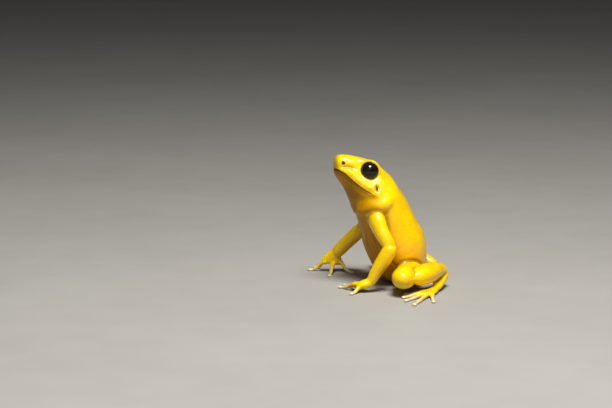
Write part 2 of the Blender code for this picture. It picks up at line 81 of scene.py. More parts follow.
def spline(rows, places):
    """Rows read at fractional places: the Catmull-Rom cubic through the given rows."""
    table = np.asarray(rows, float)
    last = len(table) - 1
    first = np.clip(np.floor(places).astype(int), 0, last - 1)
    f = (places - first)[:, None]
    p1, p2 = table[first], table[first + 1]
    p0 = np.where((first == 0)[:, None], 2 * p1 - p2, table[np.maximum(first - 1, 0)])
    p3 = np.where((first == last - 1)[:, None], 2 * p2 - p1, table[np.minimum(first + 2, last)])
    bend = 2 * p0 - 5 * p1 + 4 * p2 - p3
    return 0.5 * (2 * p1 + (p2 - p0) * f + bend * f**2 + (3 * p1 - p0 - 3 * p2 + p3) * f**3)


# %% [markdown]
# Head and trunk are one form. It is told as rows from the snout to the rump, in millimetres: where
# the back is, where the belly is, how wide it is, and how square its upper and lower halves are.
# The head has its own measures, which run back from the tip of the mouth and up from the head's
# axis, because the head is tipped up by 34 degrees. The last value of a row is the share of the
# head's turn that it takes, so the neck twists smoothly.

# %% Rows of the head and trunk
MOUTH_TIP = (22.8, 34.3)
HEAD_PITCH = math.radians(34.0)
HEAD_YAW = math.radians(10.0)
HEAD_ROLL = math.radians(7.0)
NECK_PIVOT = np.array((8.0, 0.0, 26.0))
PITCH_COS, PITCH_SIN = math.cos(HEAD_PITCH), math.sin(HEAD_PITCH)


def head_point(along, above):
    """Side-view place (x, z) that lies this far back along the head's axis and above it."""
    return (MOUTH_TIP[0] - PITCH_COS * along - PITCH_SIN * above,
            MOUTH_TIP[1] - PITCH_SIN * along + PITCH_COS * above)


BODY_ROWS = (
    (*head_point(-1.75, 2.9), *head_point(-1.70, 2.4), 0.25, 0.50, 2.0, 2.0, 1.0),
    (*head_point(-1.60, 3.6), *head_point(-1.10, 1.1), 2.0, 0.47, 2.3, 2.1, 1.0),
    (*head_point(-0.95, 4.3), *head_point(-0.35, -0.4), 3.0, 0.38, 2.4, 2.0, 1.0),
    (*head_point(0.90, 5.35), *head_point(0.70, -1.5), 3.8, 0.31, 2.5, 1.75, 1.0),
    (*head_point(2.80, 6.1), *head_point(2.70, -2.4), 4.5, 0.30, 2.5, 1.6, 1.0),
    (*head_point(5.00, 6.9), *head_point(4.70, -3.2), 5.2, 0.30, 2.5, 1.55, 1.0),
    (*head_point(7.40, 7.5), *head_point(6.60, -4.3), 5.8, 0.32, 2.3, 1.55, 1.0),
    (*head_point(9.80, 7.7), *head_point(8.40, -5.6), 6.5, 0.36, 2.2, 1.6, 1.0),
    (*head_point(12.40, 7.4), *head_point(10.10, -6.8), 7.2, 0.42, 2.1, 1.7, 0.9),
    (*head_point(15.20, 6.9), *head_point(11.60, -7.9), 7.9, 0.49, 2.1, 1.85, 0.7),
    (4.6, 28.6, 17.1, 21.4, 8.2, 0.52, 2.1, 2.0, 0.45),
    (2.6, 25.7, 16.1, 19.0, 8.4, 0.52, 2.1, 2.0, 0.2),
    (0.8, 22.4, 15.1, 15.6, 8.7, 0.50, 2.1, 2.1, 0.0),
    (-1.0, 19.0, 14.0, 11.4, 9.2, 0.48, 2.1, 2.1, 0.0),
    (-2.9, 15.7, 12.2, 7.2, 9.4, 0.47, 2.1, 2.2, 0.0),
    (-3.8, 12.3, 9.4, 2.9, 8.9, 0.47, 2.1, 2.2, 0.0),
    (-4.2, 8.8, 5.3, -0.3, 7.6, 0.48, 2.1, 2.2, 0.0),
    (-4.4, 5.9, 0.6, -0.8, 5.4, 0.50, 2.1, 2.0, 0.0),
    (-4.3, 4.1, -2.3, 0.9, 2.8, 0.50, 2.0, 2.0, 0.0),
    (-4.1, 3.2, -3.6, 2.4, 0.3, 0.50, 2.0, 2.0, 0.0),
)
print("trunk:", len(BODY_ROWS), "rows")


# %% Head and trunk as a surface of two parameters
def spun(points, axis, angle):
    """Points turned about an axis k: v cos a + (k x v) sin a + k (k.v) (1 - cos a)."""
    k = np.asarray(axis, float)
    a = np.asarray(angle, float)[..., None]
    dot = (points @ k)[..., None]
    return points * np.cos(a) + np.cross(k, points) * np.sin(a) + k * dot * (1.0 - np.cos(a))


def with_head_turn(points, share):
    """Points rolled about the head's axis, then yawed about the upright, by a share of each."""
    rolled = spun(points - NECK_PIVOT, (PITCH_COS, 0.0, PITCH_SIN), HEAD_ROLL * share)
    return spun(rolled, (0.0, 0.0, 1.0), -HEAD_YAW * share) + NECK_PIVOT


def without_head_turn(points):
    """The way back for points of the head, which take the whole turn."""
    whole = np.ones(points.shape[:-1])
    straight = spun(points - NECK_PIVOT, (0.0, 0.0, 1.0), HEAD_YAW * whole)
    return spun(straight, (PITCH_COS, 0.0, PITCH_SIN), -HEAD_ROLL * whole) + NECK_PIVOT


def straight_body(places, angles):
    """Surface before the head turns. Each ring is a superellipse: across = half width times
    |sin v|^p and up = reach times |cos v|^p, with p = 2 / roundness. Angle 0 is the back and 90
    degrees the left side."""
    rows = spline(BODY_ROWS, places)
    back, belly, half_width, widest, upper, lower = (
        rows[:, 0:2], rows[:, 2:4], rows[:, 4:5], rows[:, 5:6], rows[:, 6:7], rows[:, 7:8])
    across, up = np.sin(angles)[None, :], np.cos(angles)[None, :]
    power = 2.0 / np.where(up >= 0, upper, lower)
    side = half_width * np.sign(across) * np.abs(across)**power
    reach = np.where(up >= 0, 1.0 - widest, widest)
    height = widest + reach * np.sign(up) * np.abs(up)**power
    middle = belly[:, None, :] + height[..., None] * (back - belly)[:, None, :]
    return np.stack([middle[..., 0], side, middle[..., 1]], -1)


def body(places, angles):
    """The surface of head and trunk with the head turned."""
    points = straight_body(places, angles)
    share = np.repeat(spline(BODY_ROWS, places)[:, 8:9], len(angles), 1)
    return with_head_turn(points, share)


BODY_END = len(BODY_ROWS) - 1
trunk_grid = body(np.linspace(0.0, BODY_END, 240), np.linspace(0.0, 2 * math.pi, 120, endpoint=False))
print("trunk grid:", trunk_grid.shape)

# %% [markdown]
# The limbs are tubes: an elliptic profile carried along a curved middle line. Each row gives the
# middle, the half width and the half thickness there. Arms and legs are set differently on the two
# sides, because this frog leans on its arms with one hand further out than the other.

# %% Rows of the limbs
FORWARD, UPWARD, INWARD = (1.0, 0.0, 0.0), (0.0, 0.0, 1.0), (0.35, 0.90, 0.25)
LIMBS = {
    "left_upper_arm": ((
        (12.5, 4.0, 21.3, 2.2, 2.0), (13.4, 6.8, 20.2, 2.9, 2.4), (13.0, 9.2, 17.3, 2.4, 2.2),
        (11.9, 11.4, 14.4, 2.05, 2.0), (11.4, 12.2, 12.9, 1.7, 1.7), (11.2, 12.5, 11.9, 0.7, 0.7),
    ), FORWARD),
    "left_forearm": ((
        (11.2, 12.6, 13.9, 1.0, 1.0), (11.5, 12.5, 12.8, 2.0, 2.0), (13.0, 11.8, 9.8, 2.2, 2.1),
        (15.0, 10.9, 6.1, 1.8, 1.8), (16.3, 10.3, 3.4, 1.5, 1.4), (17.0, 10.0, 2.0, 0.9, 0.8),
    ), FORWARD),
    "left_hand": ((
        (16.0, 10.5, 3.2, 1.2, 1.1), (17.1, 9.8, 2.6, 1.9, 1.4), (18.4, 9.0, 2.1, 2.3, 1.3),
        (19.6, 8.3, 1.6, 2.1, 1.0), (20.2, 8.0, 1.4, 1.1, 0.6),
    ), UPWARD),
    "left_thigh": ((
        (-0.6, 1.4, 5.0, 1.6, 1.6), (1.0, 4.2, 4.9, 3.1, 2.9), (3.8, 8.8, 4.8, 3.7, 3.2),
        (7.1, 14.0, 4.9, 3.7, 3.2), (9.9, 18.5, 5.2, 3.4, 3.1), (11.3, 20.8, 5.3, 2.2, 2.1),
        (11.9, 21.7, 5.3, 0.6, 0.6),
    ), UPWARD),
    "left_shank": ((
        (9.0, 20.0, 5.2, 0.7, 0.7), (7.6, 19.4, 5.2, 1.5, 1.4), (5.0, 18.0, 5.3, 2.9, 2.6),
        (1.0, 15.4, 5.5, 3.1, 2.9), (-3.0, 12.2, 5.4, 2.4, 2.4), (-5.7, 10.4, 5.0, 1.7, 1.7),
        (-6.9, 9.6, 4.8, 0.7, 0.7),
    ), UPWARD),
    "left_tarsus": ((
        (-6.9, 9.6, 4.6, 0.7, 0.7), (-6.2, 10.4, 3.8, 1.5, 1.3), (-4.1, 12.9, 2.4, 1.5, 1.2),
        (-1.7, 15.6, 1.4, 1.5, 1.1), (-0.2, 17.3, 1.0, 0.9, 0.6),
    ), UPWARD),
    "left_foot": ((
        (-1.4, 16.4, 1.3, 0.9, 0.7), (0.3, 18.0, 1.0, 1.5, 0.85), (2.3, 19.7, 0.85, 1.9, 0.85),
        (4.2, 21.1, 0.75, 2.1, 0.75), (5.2, 21.8, 0.7, 1.1, 0.5),
    ), UPWARD),
    "right_upper_arm": ((
        (12.4, -4.4, 22.6, 2.5, 2.5), (11.9, -7.2, 21.4, 2.3, 2.3), (10.6, -10.2, 18.3, 2.0, 2.0),
        (9.3, -12.8, 15.6, 2.0, 2.0), (8.7, -13.8, 14.5, 1.7, 1.7), (8.4, -14.3, 13.8, 0.7, 0.7),
    ), FORWARD),
    "right_forearm": ((
        (8.2, -13.4, 15.4, 1.0, 1.0), (8.8, -14.1, 14.5, 1.9, 1.9), (10.9, -16.2, 11.8, 2.1, 2.1),
        (13.2, -18.5, 8.6, 2.0, 2.0), (15.0, -20.1, 6.2, 1.9, 1.8), (15.8, -20.8, 5.2, 1.2, 1.1),
    ), FORWARD),
    "right_hand": ((
        (15.2, -20.5, 6.2, 1.4, 1.2), (15.8, -20.6, 5.2, 2.0, 1.3), (16.3, -20.6, 4.0, 2.9, 1.2),
        (16.6, -20.6, 2.9, 3.5, 1.0), (16.7, -20.6, 2.2, 2.3, 0.6),
    ), INWARD),
    "right_thigh": ((
        (-1.4, -1.2, 5.5, 1.6, 1.6), (-0.9, -4.2, 5.6, 3.1, 3.1), (-0.1, -8.8, 5.8, 3.7, 3.5),
        (0.8, -14.4, 6.0, 3.7, 3.5), (1.6, -18.8, 6.2, 3.1, 3.0), (2.0, -21.2, 6.2, 2.0, 2.0),
        (2.2, -22.0, 6.2, 0.6, 0.6),
    ), UPWARD),
    "right_shank": ((
        (2.2, -21.2, 6.0, 0.8, 0.8), (0.8, -19.8, 5.8, 2.1, 2.1), (-2.4, -16.6, 5.5, 2.8, 2.7),
        (-5.8, -13.2, 5.0, 2.8, 2.7), (-8.8, -10.1, 3.9, 2.1, 2.1), (-10.8, -7.9, 2.6, 1.7, 1.7),
        (-11.8, -6.9, 2.2, 0.7, 0.7),
    ), UPWARD),
    "right_tarsus": ((
        (-12.3, -6.8, 1.9, 0.7, 0.7), (-11.8, -8.2, 1.6, 1.4, 1.2), (-9.9, -11.6, 1.2, 1.5, 1.1),
        (-7.7, -15.0, 1.1, 1.5, 1.0), (-6.7, -16.7, 0.9, 0.9, 0.6),
    ), UPWARD),
    "right_foot": ((
        (-7.6, -15.2, 1.1, 0.9, 0.7), (-6.6, -17.1, 0.95, 1.5, 0.85), (-5.4, -19.4, 0.85, 1.9, 0.85),
        (-4.4, -21.4, 0.75, 2.1, 0.75), (-3.9, -22.5, 0.7, 1.1, 0.5),
    ), UPWARD),
}
print("limbs:", len(LIMBS), "tubes")


# %% A tube along a curved line
def tube(rows, thick, rings, sides):
    """Grid of points: middle + side * half width * sin a + up * half thickness * cos a, where up
    is the given direction made square to the line's run, and side is run x up."""
    table = spline(rows, np.linspace(0.0, len(rows) - 1, rings))
    middle = table[:, :3]
    run = unit(np.gradient(middle, axis=0))
    up = np.broadcast_to(np.asarray(thick, float), run.shape)
    up = unit(up - (up * run).sum(-1, keepdims=True) * run)
    side = np.cross(run, up)
    a = np.linspace(0.0, 2 * math.pi, sides, endpoint=False)[None, :, None]
    width, height = table[:, 3][:, None, None], table[:, 4][:, None, None]
    return (middle[:, None, :] + side[:, None, :] * (width * np.sin(a))
            + up[:, None, :] * (height * np.cos(a)))


limb_grids = [tube(rows, thick, 48, 36) for rows, thick in LIMBS.values()]
print("limb grids:", len(limb_grids))

# %% [markdown]
# A poison frog's fingers and toes are free, slim and jointed, and each ends in a small pad that is
# a little wider than the digit. They spring from the palm as thick as a match head and thin out.
# Each is one tube whose middle line leaves the palm, arches over its joint and lies down on the
# floor, with its widths given at a few shares of its length.

# %% Fingers and toes
TIP_HEIGHT = 0.36
DISC_LENGTH = 1.5
DIGITS = {
    "left_finger": (((18.0, 8.2, 2.1), -105, 6.6), ((19.2, 7.8, 2.0), -80, 8.6),
                    ((19.7, 8.2, 1.8), -62, 7.4), ((19.2, 9.4, 1.7), 32, 5.2)),
    "right_finger": (((15.0, -20.2, 3.1), 125, 5.6), ((16.5, -20.1, 2.7), 61, 8.2),
                     ((18.3, -21.2, 3.0), -33, 5.8), ((17.8, -21.7, 3.7), -72, 6.4)),
    "left_toe": (((3.1, 18.9, 0.85), -8, 6.5), ((3.3, 19.5, 0.85), 12, 8.3), ((3.2, 20.1, 0.85), 31, 10.7),
                 ((2.8, 20.6, 0.85), 49, 14.0), ((2.1, 20.7, 0.85), 70, 9.6)),
    "right_toe": (((-4.4, -19.1, 0.85), -22, 6.4), ((-4.6, -19.8, 0.85), -40, 8.3),
                  ((-5.0, -20.2, 0.85), -58, 10.6), ((-5.5, -20.3, 0.85), -75, 13.9),
                  ((-6.1, -20.1, 0.85), -96, 9.7)),
}


def digit_rows(root, heading, length):
    """Rows (place, half width, half thickness) of a digit: place = root + run * way - drop * fall.
    The shaft's rows give their share of the way to the neck of the pad, the pad's rows their
    distance from the tip as a share of the pad's length, and both the share of the fall."""
    run = np.array((math.cos(heading), math.sin(heading), 0.0))
    drop = np.array((0.0, 0.0, root[2] - TIP_HEIGHT))
    shaft = ((0.00, 0.00, 1.00, 0.80), (0.24, 0.09, 0.84, 0.70), (0.41, 0.28, 0.64, 0.58),
             (0.57, 0.54, 0.52, 0.49), (0.71, 0.76, 0.56, 0.52), (0.85, 0.90, 0.46, 0.44))
    pad = ((1.00, 1.00, 0.42, 0.39), (0.50, 1.00, 0.66, 0.42), (0.12, 1.02, 0.56, 0.30),
           (0.00, 1.03, 0.14, 0.10))
    rows = [((length - DISC_LENGTH) * share, *row) for share, *row in shaft]
    rows += [(length - DISC_LENGTH * share, *row) for share, *row in pad]
    return [(*(np.asarray(root) + run * way - drop * fall), wide, thick) for way, fall, wide, thick in rows]


digit_lines = [(name, np.asarray(root), math.radians(heading), length)
               for name, digits in DIGITS.items() for root, heading, length in digits]
digit_grids = [tube(digit_rows(root, heading, length), UPWARD, 64, 28)
               for name, root, heading, length in digit_lines]
print("digits:", len(digit_grids))

# %% [markdown]
# Behind the jaw the skin hangs in a soft lobe that lies over the root of the arm. In the picture its
# lower edge is the sharpest fold on the whole animal. It is a tube laid just under the trunk's own
# surface, so that only its outer side swells, and the arm comes out from below it.

# %% Shoulder lobes
LOBE_PATH = ((8.5, 158, 1.6, 1.8), (9.15, 145, 1.6, 2.5), (9.75, 127, 1.8, 2.9), (10.05, 107, 1.9, 3.0),
             (10.0, 88, 2.0, 2.8), (9.6, 71, 2.1, 2.2), (9.1, 58, 1.9, 1.4))
LOBE_START = {1: 0, -1: 2}


def body_spot(place, angle_degrees):
    """Point of the trunk's surface and its outward direction, by differences to both sides."""
    step = 0.05
    places = np.array((place - step, place, place + step))
    angles = np.radians(angle_degrees) + np.array((-step, 0.0, step))
    points = body(places, angles)
    out = unit(np.cross(points[2, 1] - points[0, 1], points[1, 2] - points[1, 0]))
    middle = body(np.array((place,)), np.linspace(0.0, 2 * math.pi, 24, endpoint=False))[0].mean(0)
    return points[1, 1], out * np.sign(out @ (points[1, 1] - middle))


def lobe_rows(side):
    """The lobe's middle line: points of the trunk's skin, each moved inwards by its depth. On the
    right, where the turned head pulls the throat tight, it starts further up."""
    rows = []
    for place, angle, depth, radius in LOBE_PATH[LOBE_START[side]:]:
        point, out = body_spot(place, side * angle)
        rows.append((*(point - out * depth), radius, radius))
    return rows


lobe_grids = [tube(lobe_rows(side), UPWARD, 48, 36) for side in (1, -1)]
print("shoulder lobes:", len(lobe_grids))


# %% [markdown]
# The eyes of this frog are large, round and jet black, and they bulge from the sides of the head.
# The lids are a thin shell of skin that hugs the ball, so the skin needs a slightly larger ball
# round each eye before it is fused.

# %% Where the eyes sit
EYE_RADIUS = 2.75
EYE_PLACE = (7.8, 4.4, 4.3)
EYE_LOOK = (-0.30, 0.18, 0.94)
LID_SHELL = 0.40


def eye_frame(side):
    """Middle of an eye, the way it looks, and the head's upward direction square to that."""
    along, above, out = EYE_PLACE
    x, z = head_point(along, above)
    back, up, lateral = EYE_LOOK
    look = np.array((-PITCH_COS * back - PITCH_SIN * up, side * lateral,
                     -PITCH_SIN * back + PITCH_COS * up))
    middle = np.array((x, side * out, z))
    crown = np.array((-PITCH_SIN, 0.0, PITCH_COS))
    three = with_head_turn(np.stack([middle, middle + look, middle + crown]), np.ones(3))
    looking = unit(three[1] - three[0])
    upward = three[2] - three[0]
    return three[0], looking, unit(upward - (upward @ looking) * looking)


def globe(middle, radius, rings=48, sides=72):
    """Grid of a ball: the angle from the pole runs down the rings and the turn runs round them."""
    polar = np.linspace(0.02, math.pi - 0.02, rings)[:, None]
    turn = np.linspace(0.0, 2 * math.pi, sides, endpoint=False)[None, :]
    points = np.stack([np.sin(polar) * np.cos(turn), np.sin(polar) * np.sin(turn),
                       np.cos(polar) * np.ones_like(turn)], -1)
    return np.asarray(middle) + radius * points


EYES = {"left": eye_frame(1), "right": eye_frame(-1)}


def away_from_eyes(points):
    """0 on the lids and 1 a little way off, by the distance to the middle of the nearer eye."""
    distance = np.min([np.linalg.norm(points - middle, axis=1) for middle, look, up in EYES.values()], 0)
    return soft_step(EYE_RADIUS + 1.1, EYE_RADIUS + 2.2, distance)


lid_grids = [globe(middle, EYE_RADIUS + LID_SHELL) for middle, look, up in EYES.values()]
print("eyes at", [np.round(middle, 1).tolist() for middle, look, up in EYES.values()])

# %% [markdown]
# All these forms overlap, and the skin is the surface round all of them. The Remesh modifier with
# small cells does that: it marks which cells of a grid are inside, and wraps them in even squares,
# whatever the pieces were made of. It works on millimetres here, and the result is scaled to metres
# at the end.

# %% Join and fuse grids
def solid(grid):
    """Points of a grid of rings plus a hub at each end; squares between rings, fans at the ends."""
    rings, sides = grid.shape[:2]
    points = np.concatenate([grid.reshape(-1, 3), grid[[0, -1]].mean(1)])
    i, k = np.arange(rings - 1)[:, None] * sides, np.arange(sides)[None, :]
    j = (k + 1) % sides
    squares = np.stack([i + k, i + j, i + sides + j, i + sides + k], -1).reshape(-1, 4)
    k, j, hub, end = k[0], j[0], np.full(sides, rings * sides), (rings - 1) * sides
    fans = np.concatenate([np.stack([j, k, hub], -1), np.stack([end + k, end + j, hub + 1], -1)])
    return points, squares.tolist() + fans.tolist()


def joined(pieces, name):
    """One mesh that holds all pieces, with every face number moved past the points before it."""
    points, faces, start = [], [], 0
    for own_points, own_faces in pieces:
        points.append(own_points)
        faces += [[number + start for number in face] for face in own_faces]
        start += len(own_points)
    mesh = bpy.data.meshes.new(name)
    mesh.from_pydata(np.concatenate(points), [], faces)
    return mesh


def evaluated_copy(mesh, kind, **settings):
    """The mesh after one modifier with these settings."""
    holder = bpy.data.objects.new("holder", mesh)
    bpy.context.scene.collection.objects.link(holder)
    modifier = holder.modifiers.new("change", kind)
    for key, value in settings.items():
        setattr(modifier, key, value)
    seen = holder.evaluated_get(bpy.context.evaluated_depsgraph_get())
    result = bpy.data.meshes.new_from_object(seen)
    bpy.data.objects.remove(holder)
    return result


def read_mesh(mesh):
    """Arrays of a mesh of squares: points, pairs of points that share an edge, and squares."""
    points = np.empty(len(mesh.vertices) * 3, np.float32)
    pairs = np.empty(len(mesh.edges) * 2, np.int32)
    squares = np.empty(len(mesh.loops), np.int32)
    mesh.vertices.foreach_get("co", points)
    mesh.edges.foreach_get("vertices", pairs)
    mesh.loops.foreach_get("vertex_index", squares)
    return points.reshape(-1, 3).astype(float), pairs.reshape(-1, 2), squares.reshape(-1, 4)


COARSE_CELL = 0.30
FINE_CELL = 0.12


def by_detail(full):
    return full


rough = joined([solid(grid) for grid in [trunk_grid, *limb_grids, *lobe_grids]], "rough")
rough = evaluated_copy(rough, "REMESH", mode="VOXEL", voxel_size=COARSE_CELL)
points, pairs, squares = read_mesh(rough)
print("rough skin:", len(points), "points,", len(squares), "squares")


# %% [markdown]
# Where two forms cross, the fused surface has a sharp valley, and skin never does that: it spans the
# valley in a small round fillet. Each round of the next function moves every point towards the mean
# of its neighbours, wholly where the mean lies outside the surface, which is in a valley, and hardly
# at all elsewhere, so ridges and round forms keep their size.

# %% Skin that spans the valleys
def neighbour_mean(values, pairs):
    """Mean of each point's neighbours: sums over the edges, divided by how many there are."""
    columns = values.reshape(len(values), -1)
    ends, others = np.concatenate([pairs[:, 0], pairs[:, 1]]), np.concatenate([pairs[:, 1], pairs[:, 0]])
    total = np.bincount(ends, minlength=len(values))
    sums = [np.bincount(ends, columns[others, axis], len(values)) for axis in range(columns.shape[1])]
    return (np.stack(sums, -1) / total[:, None]).reshape(values.shape)


def spread(values, pairs, rounds):
    """A mask, or points, after rounds of taking the mean of the neighbours."""
    for _ in range(rounds):
        values = neighbour_mean(values, pairs)
    return values


def relaxed(points, pairs, share, rounds):
    """Points after rounds of moving each by its share of the way to its neighbours' mean."""
    for _ in range(rounds):
        points = points + share[:, None] * (neighbour_mean(points, pairs) - points)
    return points


def outward(points, squares):
    """Normal of each point: the sum of the cross products of its squares' diagonals."""
    corner = points[squares]
    flat = np.cross(corner[:, 2] - corner[:, 0], corner[:, 3] - corner[:, 1])
    sums = [np.bincount(squares.ravel(), np.repeat(flat[:, axis], 4), len(points)) for axis in range(3)]
    return unit(np.stack(sums, -1))


def spanned(points, pairs, squares, rounds, keep):
    """Points after rounds of moving to their neighbours' mean, times keep where that is inwards."""
    for _ in range(rounds):
        pull = neighbour_mean(points, pairs) - points
        outwards = (pull * outward(points, squares)).sum(-1) > 0
        points = points + 0.7 * pull * np.where(outwards, 1.0, keep)[:, None]
    return points


def hollows(points, pairs, squares, rounds):
    """How far each point lies below a copy of the surface that is smoothed by this many rounds."""
    return ((spread(points, pairs, rounds) - points) * outward(points, squares)).sum(-1)


def to_path(points, path):
    """Nearest place on a path of straight pieces: the offset to it, and how far along it lies."""
    best = np.full(len(points), np.inf)
    offset, place = np.zeros_like(points), np.zeros(len(points))
    for number, (start, end) in enumerate(zip(path[:-1], path[1:])):
        run = end - start
        share = np.clip((points - start) @ run / (run @ run), 0.0, 1.0)
        away = points - start - share[:, None] * run
        size = (away**2).sum(-1)
        nearer = size < best
        best = np.where(nearer, size, best)
        offset = np.where(nearer[:, None], away, offset)
        place = np.where(nearer, number + share, place)
    return offset, np.sqrt(best), place / (len(path) - 1)


sharpness = spread(soft_step(0.010, 0.05, hollows(points, pairs, squares, 4)), pairs, 3)
points = spanned(points, pairs, squares, 9, 0.08)
above_lobe = np.zeros(len(points))
for side in (1, -1):
    offset, distance, place = to_path(points, np.array(lobe_rows(side))[:, :3])
    upper = soft_step(-0.15, 0.75, offset[:, 2] / np.maximum(distance, 1e-6))
    above_lobe = np.maximum(above_lobe, upper * soft_step(6.5, 4.5, distance))
points = relaxed(points, pairs, 0.7 * above_lobe, 70)
rough.vertices.foreach_set("co", points.ravel())
added = [solid(grid) for grid in [*digit_grids, *lid_grids]]
fine = joined([(points, squares.tolist()), *added], "fine")
fine = evaluated_copy(fine, "REMESH", mode="VOXEL", voxel_size=FINE_CELL)
points, pairs, squares = read_mesh(fine)
points = spanned(points, pairs, squares, 10, 0.25)
print("fine skin:", len(points), "points,", len(squares), "squares")

# %% [markdown]
# A fillet alone looks like cast rubber. Real skin keeps a crisp crease along the bottom of each
# fold, such as the groin, the back of the knee and under the shoulder lobe. How sharp the raw
# valleys were is known on the rough skin, so it is spread into a block of small cells and read back
# on the fine skin, where it sets the depth of the crease and later an olive painted shade in it.
# Narrow gaps, such as the one between calf and foot, fuse raggedly, so at the end the bottoms of
# the folds and of other hollows are smoothed once more.

# %% Creases along the folds
BLOCK_CELL = 0.25
FOLD_DEPTH = 0.35


def blurred(block):
    """Half of each cell's own value plus a twelfth of each of its six neighbours' values."""
    total = 0.5 * block
    for axis in range(3):
        total += (np.roll(block, 1, axis) + np.roll(block, -1, axis)) / 12.0
    return total


def into_block(places, values, low, shape, rounds):
    """Mean of the values of the points in and round each cell: blurred sums over blurred counts."""
    cell = ((places - low) / BLOCK_CELL + 0.5).astype(int)
    number = np.ravel_multi_index(cell.T, shape)
    sums = np.bincount(number, values, np.prod(shape)).reshape(shape)
    counts = np.bincount(number, minlength=np.prod(shape)).reshape(shape).astype(float)
    for _ in range(rounds):
        sums, counts = blurred(sums), blurred(counts)
    return sums / np.maximum(counts, 1e-3)


def from_block(block, places, low):
    """Values between the cells: the eight cells round each place, weighted by their nearness."""
    at = (places - low) / BLOCK_CELL
    first = np.floor(at).astype(int)
    share = at - first
    total = np.zeros(len(places))
    for corner in np.ndindex(2, 2, 2):
        weight = np.prod(np.where(corner, share, 1.0 - share), axis=1)
        total += weight * block[tuple((first + corner).T)]
    return total


rough_points = read_mesh(rough)[0]
low = rough_points.min(0) - 2.5
shape = tuple(((rough_points.max(0) + 2.5 - low) / BLOCK_CELL).astype(int) + 2)
inside_block = ((points > low + 1.0) & (points < low + BLOCK_CELL * np.array(shape) - 1.0)).all(1)
fold = np.zeros(len(points))
block = into_block(rough_points, sharpness, low, shape, 1)
fold[inside_block] = from_block(block, points[inside_block], low)
fold = soft_step(0.12, 0.75, fold)
lobe_mask = np.zeros(len(points))
for side in (1, -1):
    offset, distance, place = to_path(points, np.array(lobe_rows(side))[:, :3])
    by_lobe = soft_step(4.4, 3.4, distance)
    lobe_mask = np.maximum(lobe_mask, soft_step(3.7, 2.5, distance))
    under = soft_step(-0.1, 0.7, -offset[:, 2] / np.maximum(distance, 1e-6))
    fold *= 1.0 - by_lobe * (1.0 - 0.6 * under)
normals = outward(points, squares)
points -= normals * (FOLD_DEPTH * fold**1.5)[:, None]
ragged = np.maximum(fold, soft_step(0.02, 0.10, hollows(points, pairs, squares, by_detail(14))))
ragged = spread(ragged * away_from_eyes(points), pairs, by_detail(10))
points = relaxed(points, pairs, 0.8 * ragged, by_detail(20))
print("folds: %.3f of the skin, in a block of" % (fold > 0.5).mean(), shape)

# %% [markdown]
# Now the face is cut into the skin. Every feature is a mask times a depth along the normal. Narrow
# features need more points than the even squares give, so first the points near a line are drawn
# together towards it, and then they are pushed in.

# %% Measures on the skin
def head_measures(points):
    """How far each point lies back along the head's axis, above it, and to the side."""
    straight = without_head_turn(points)
    dx, dz = straight[:, 0] - MOUTH_TIP[0], straight[:, 2] - MOUTH_TIP[1]
    return -PITCH_COS * dx - PITCH_SIN * dz, -PITCH_SIN * dx + PITCH_COS * dz, straight[:, 1]


def head_spot(along, above, side):
    """Point and outward direction of the skin nearest to one place in the head's measures."""
    places, angles = np.linspace(0.4, 10.0, 241), np.linspace(0.05, math.pi - 0.05, 241)
    grid = straight_body(places, angles)
    x, z = head_point(along, above)
    i, j = np.unravel_index(np.argmin(np.hypot(grid[..., 0] - x, grid[..., 2] - z)), grid.shape[:2])
    return body_spot(places[i], side * math.degrees(angles[j]))


print("the head is tipped up by %.0f degrees" % math.degrees(HEAD_PITCH))

# %% The mouth
MOUTH_ROWS = ((-1.5, -0.15), (0.4, -0.35), (2.0, -0.18), (3.3, -0.48), (4.8, -0.82), (7.7, -1.22),
              (9.3, -1.36), (11.6, -1.12), (15.0, -0.9))
MOUTH_CORNER = 11.9
MOUTH_DEPTH = 0.42
MOUTH_WIDTH = 0.17


def mouth_height(along):
    """How high the line of the mouth runs above the head's axis: straight between its rows."""
    return np.interp(along, *np.transpose(MOUTH_ROWS))


def mouth_line():
    """Where the skin crosses the mouth's height, from the right corner to the left corner."""
    places = 1.22 + 7.9 * np.linspace(0.0, 1.0, 48)**1.5
    angles = np.linspace(0.02, math.pi - 0.02, 600)
    grid = straight_body(places, angles)
    dx, dz = grid[..., 0] - MOUTH_TIP[0], grid[..., 2] - MOUTH_TIP[1]
    along = -PITCH_COS * dx - PITCH_SIN * dz
    level = -PITCH_SIN * dx + PITCH_COS * dz - mouth_height(along)
    below = np.argmax(level < 0, axis=1)
    rows = np.arange(len(places))
    kept = (below > 0) & (along[rows, below] < MOUTH_CORNER)
    rows, below = rows[kept], below[kept]
    share = level[rows, below - 1] / (level[rows, below - 1] - level[rows, below])
    half = grid[rows, below - 1] + share[:, None] * (grid[rows, below] - grid[rows, below - 1])
    turn = spline(BODY_ROWS, places[kept])[:, 8]
    left, right = half, half * (1.0, -1.0, 1.0)
    return np.concatenate([with_head_turn(right, turn)[::-1], with_head_turn(left, turn)])


def drawn_together(points, offset, distance, width, strength):
    """Points moved towards a line by strength times e^-(distance/width)^2 of their offset."""
    return points - offset * (strength * bell(distance, width))[:, None]


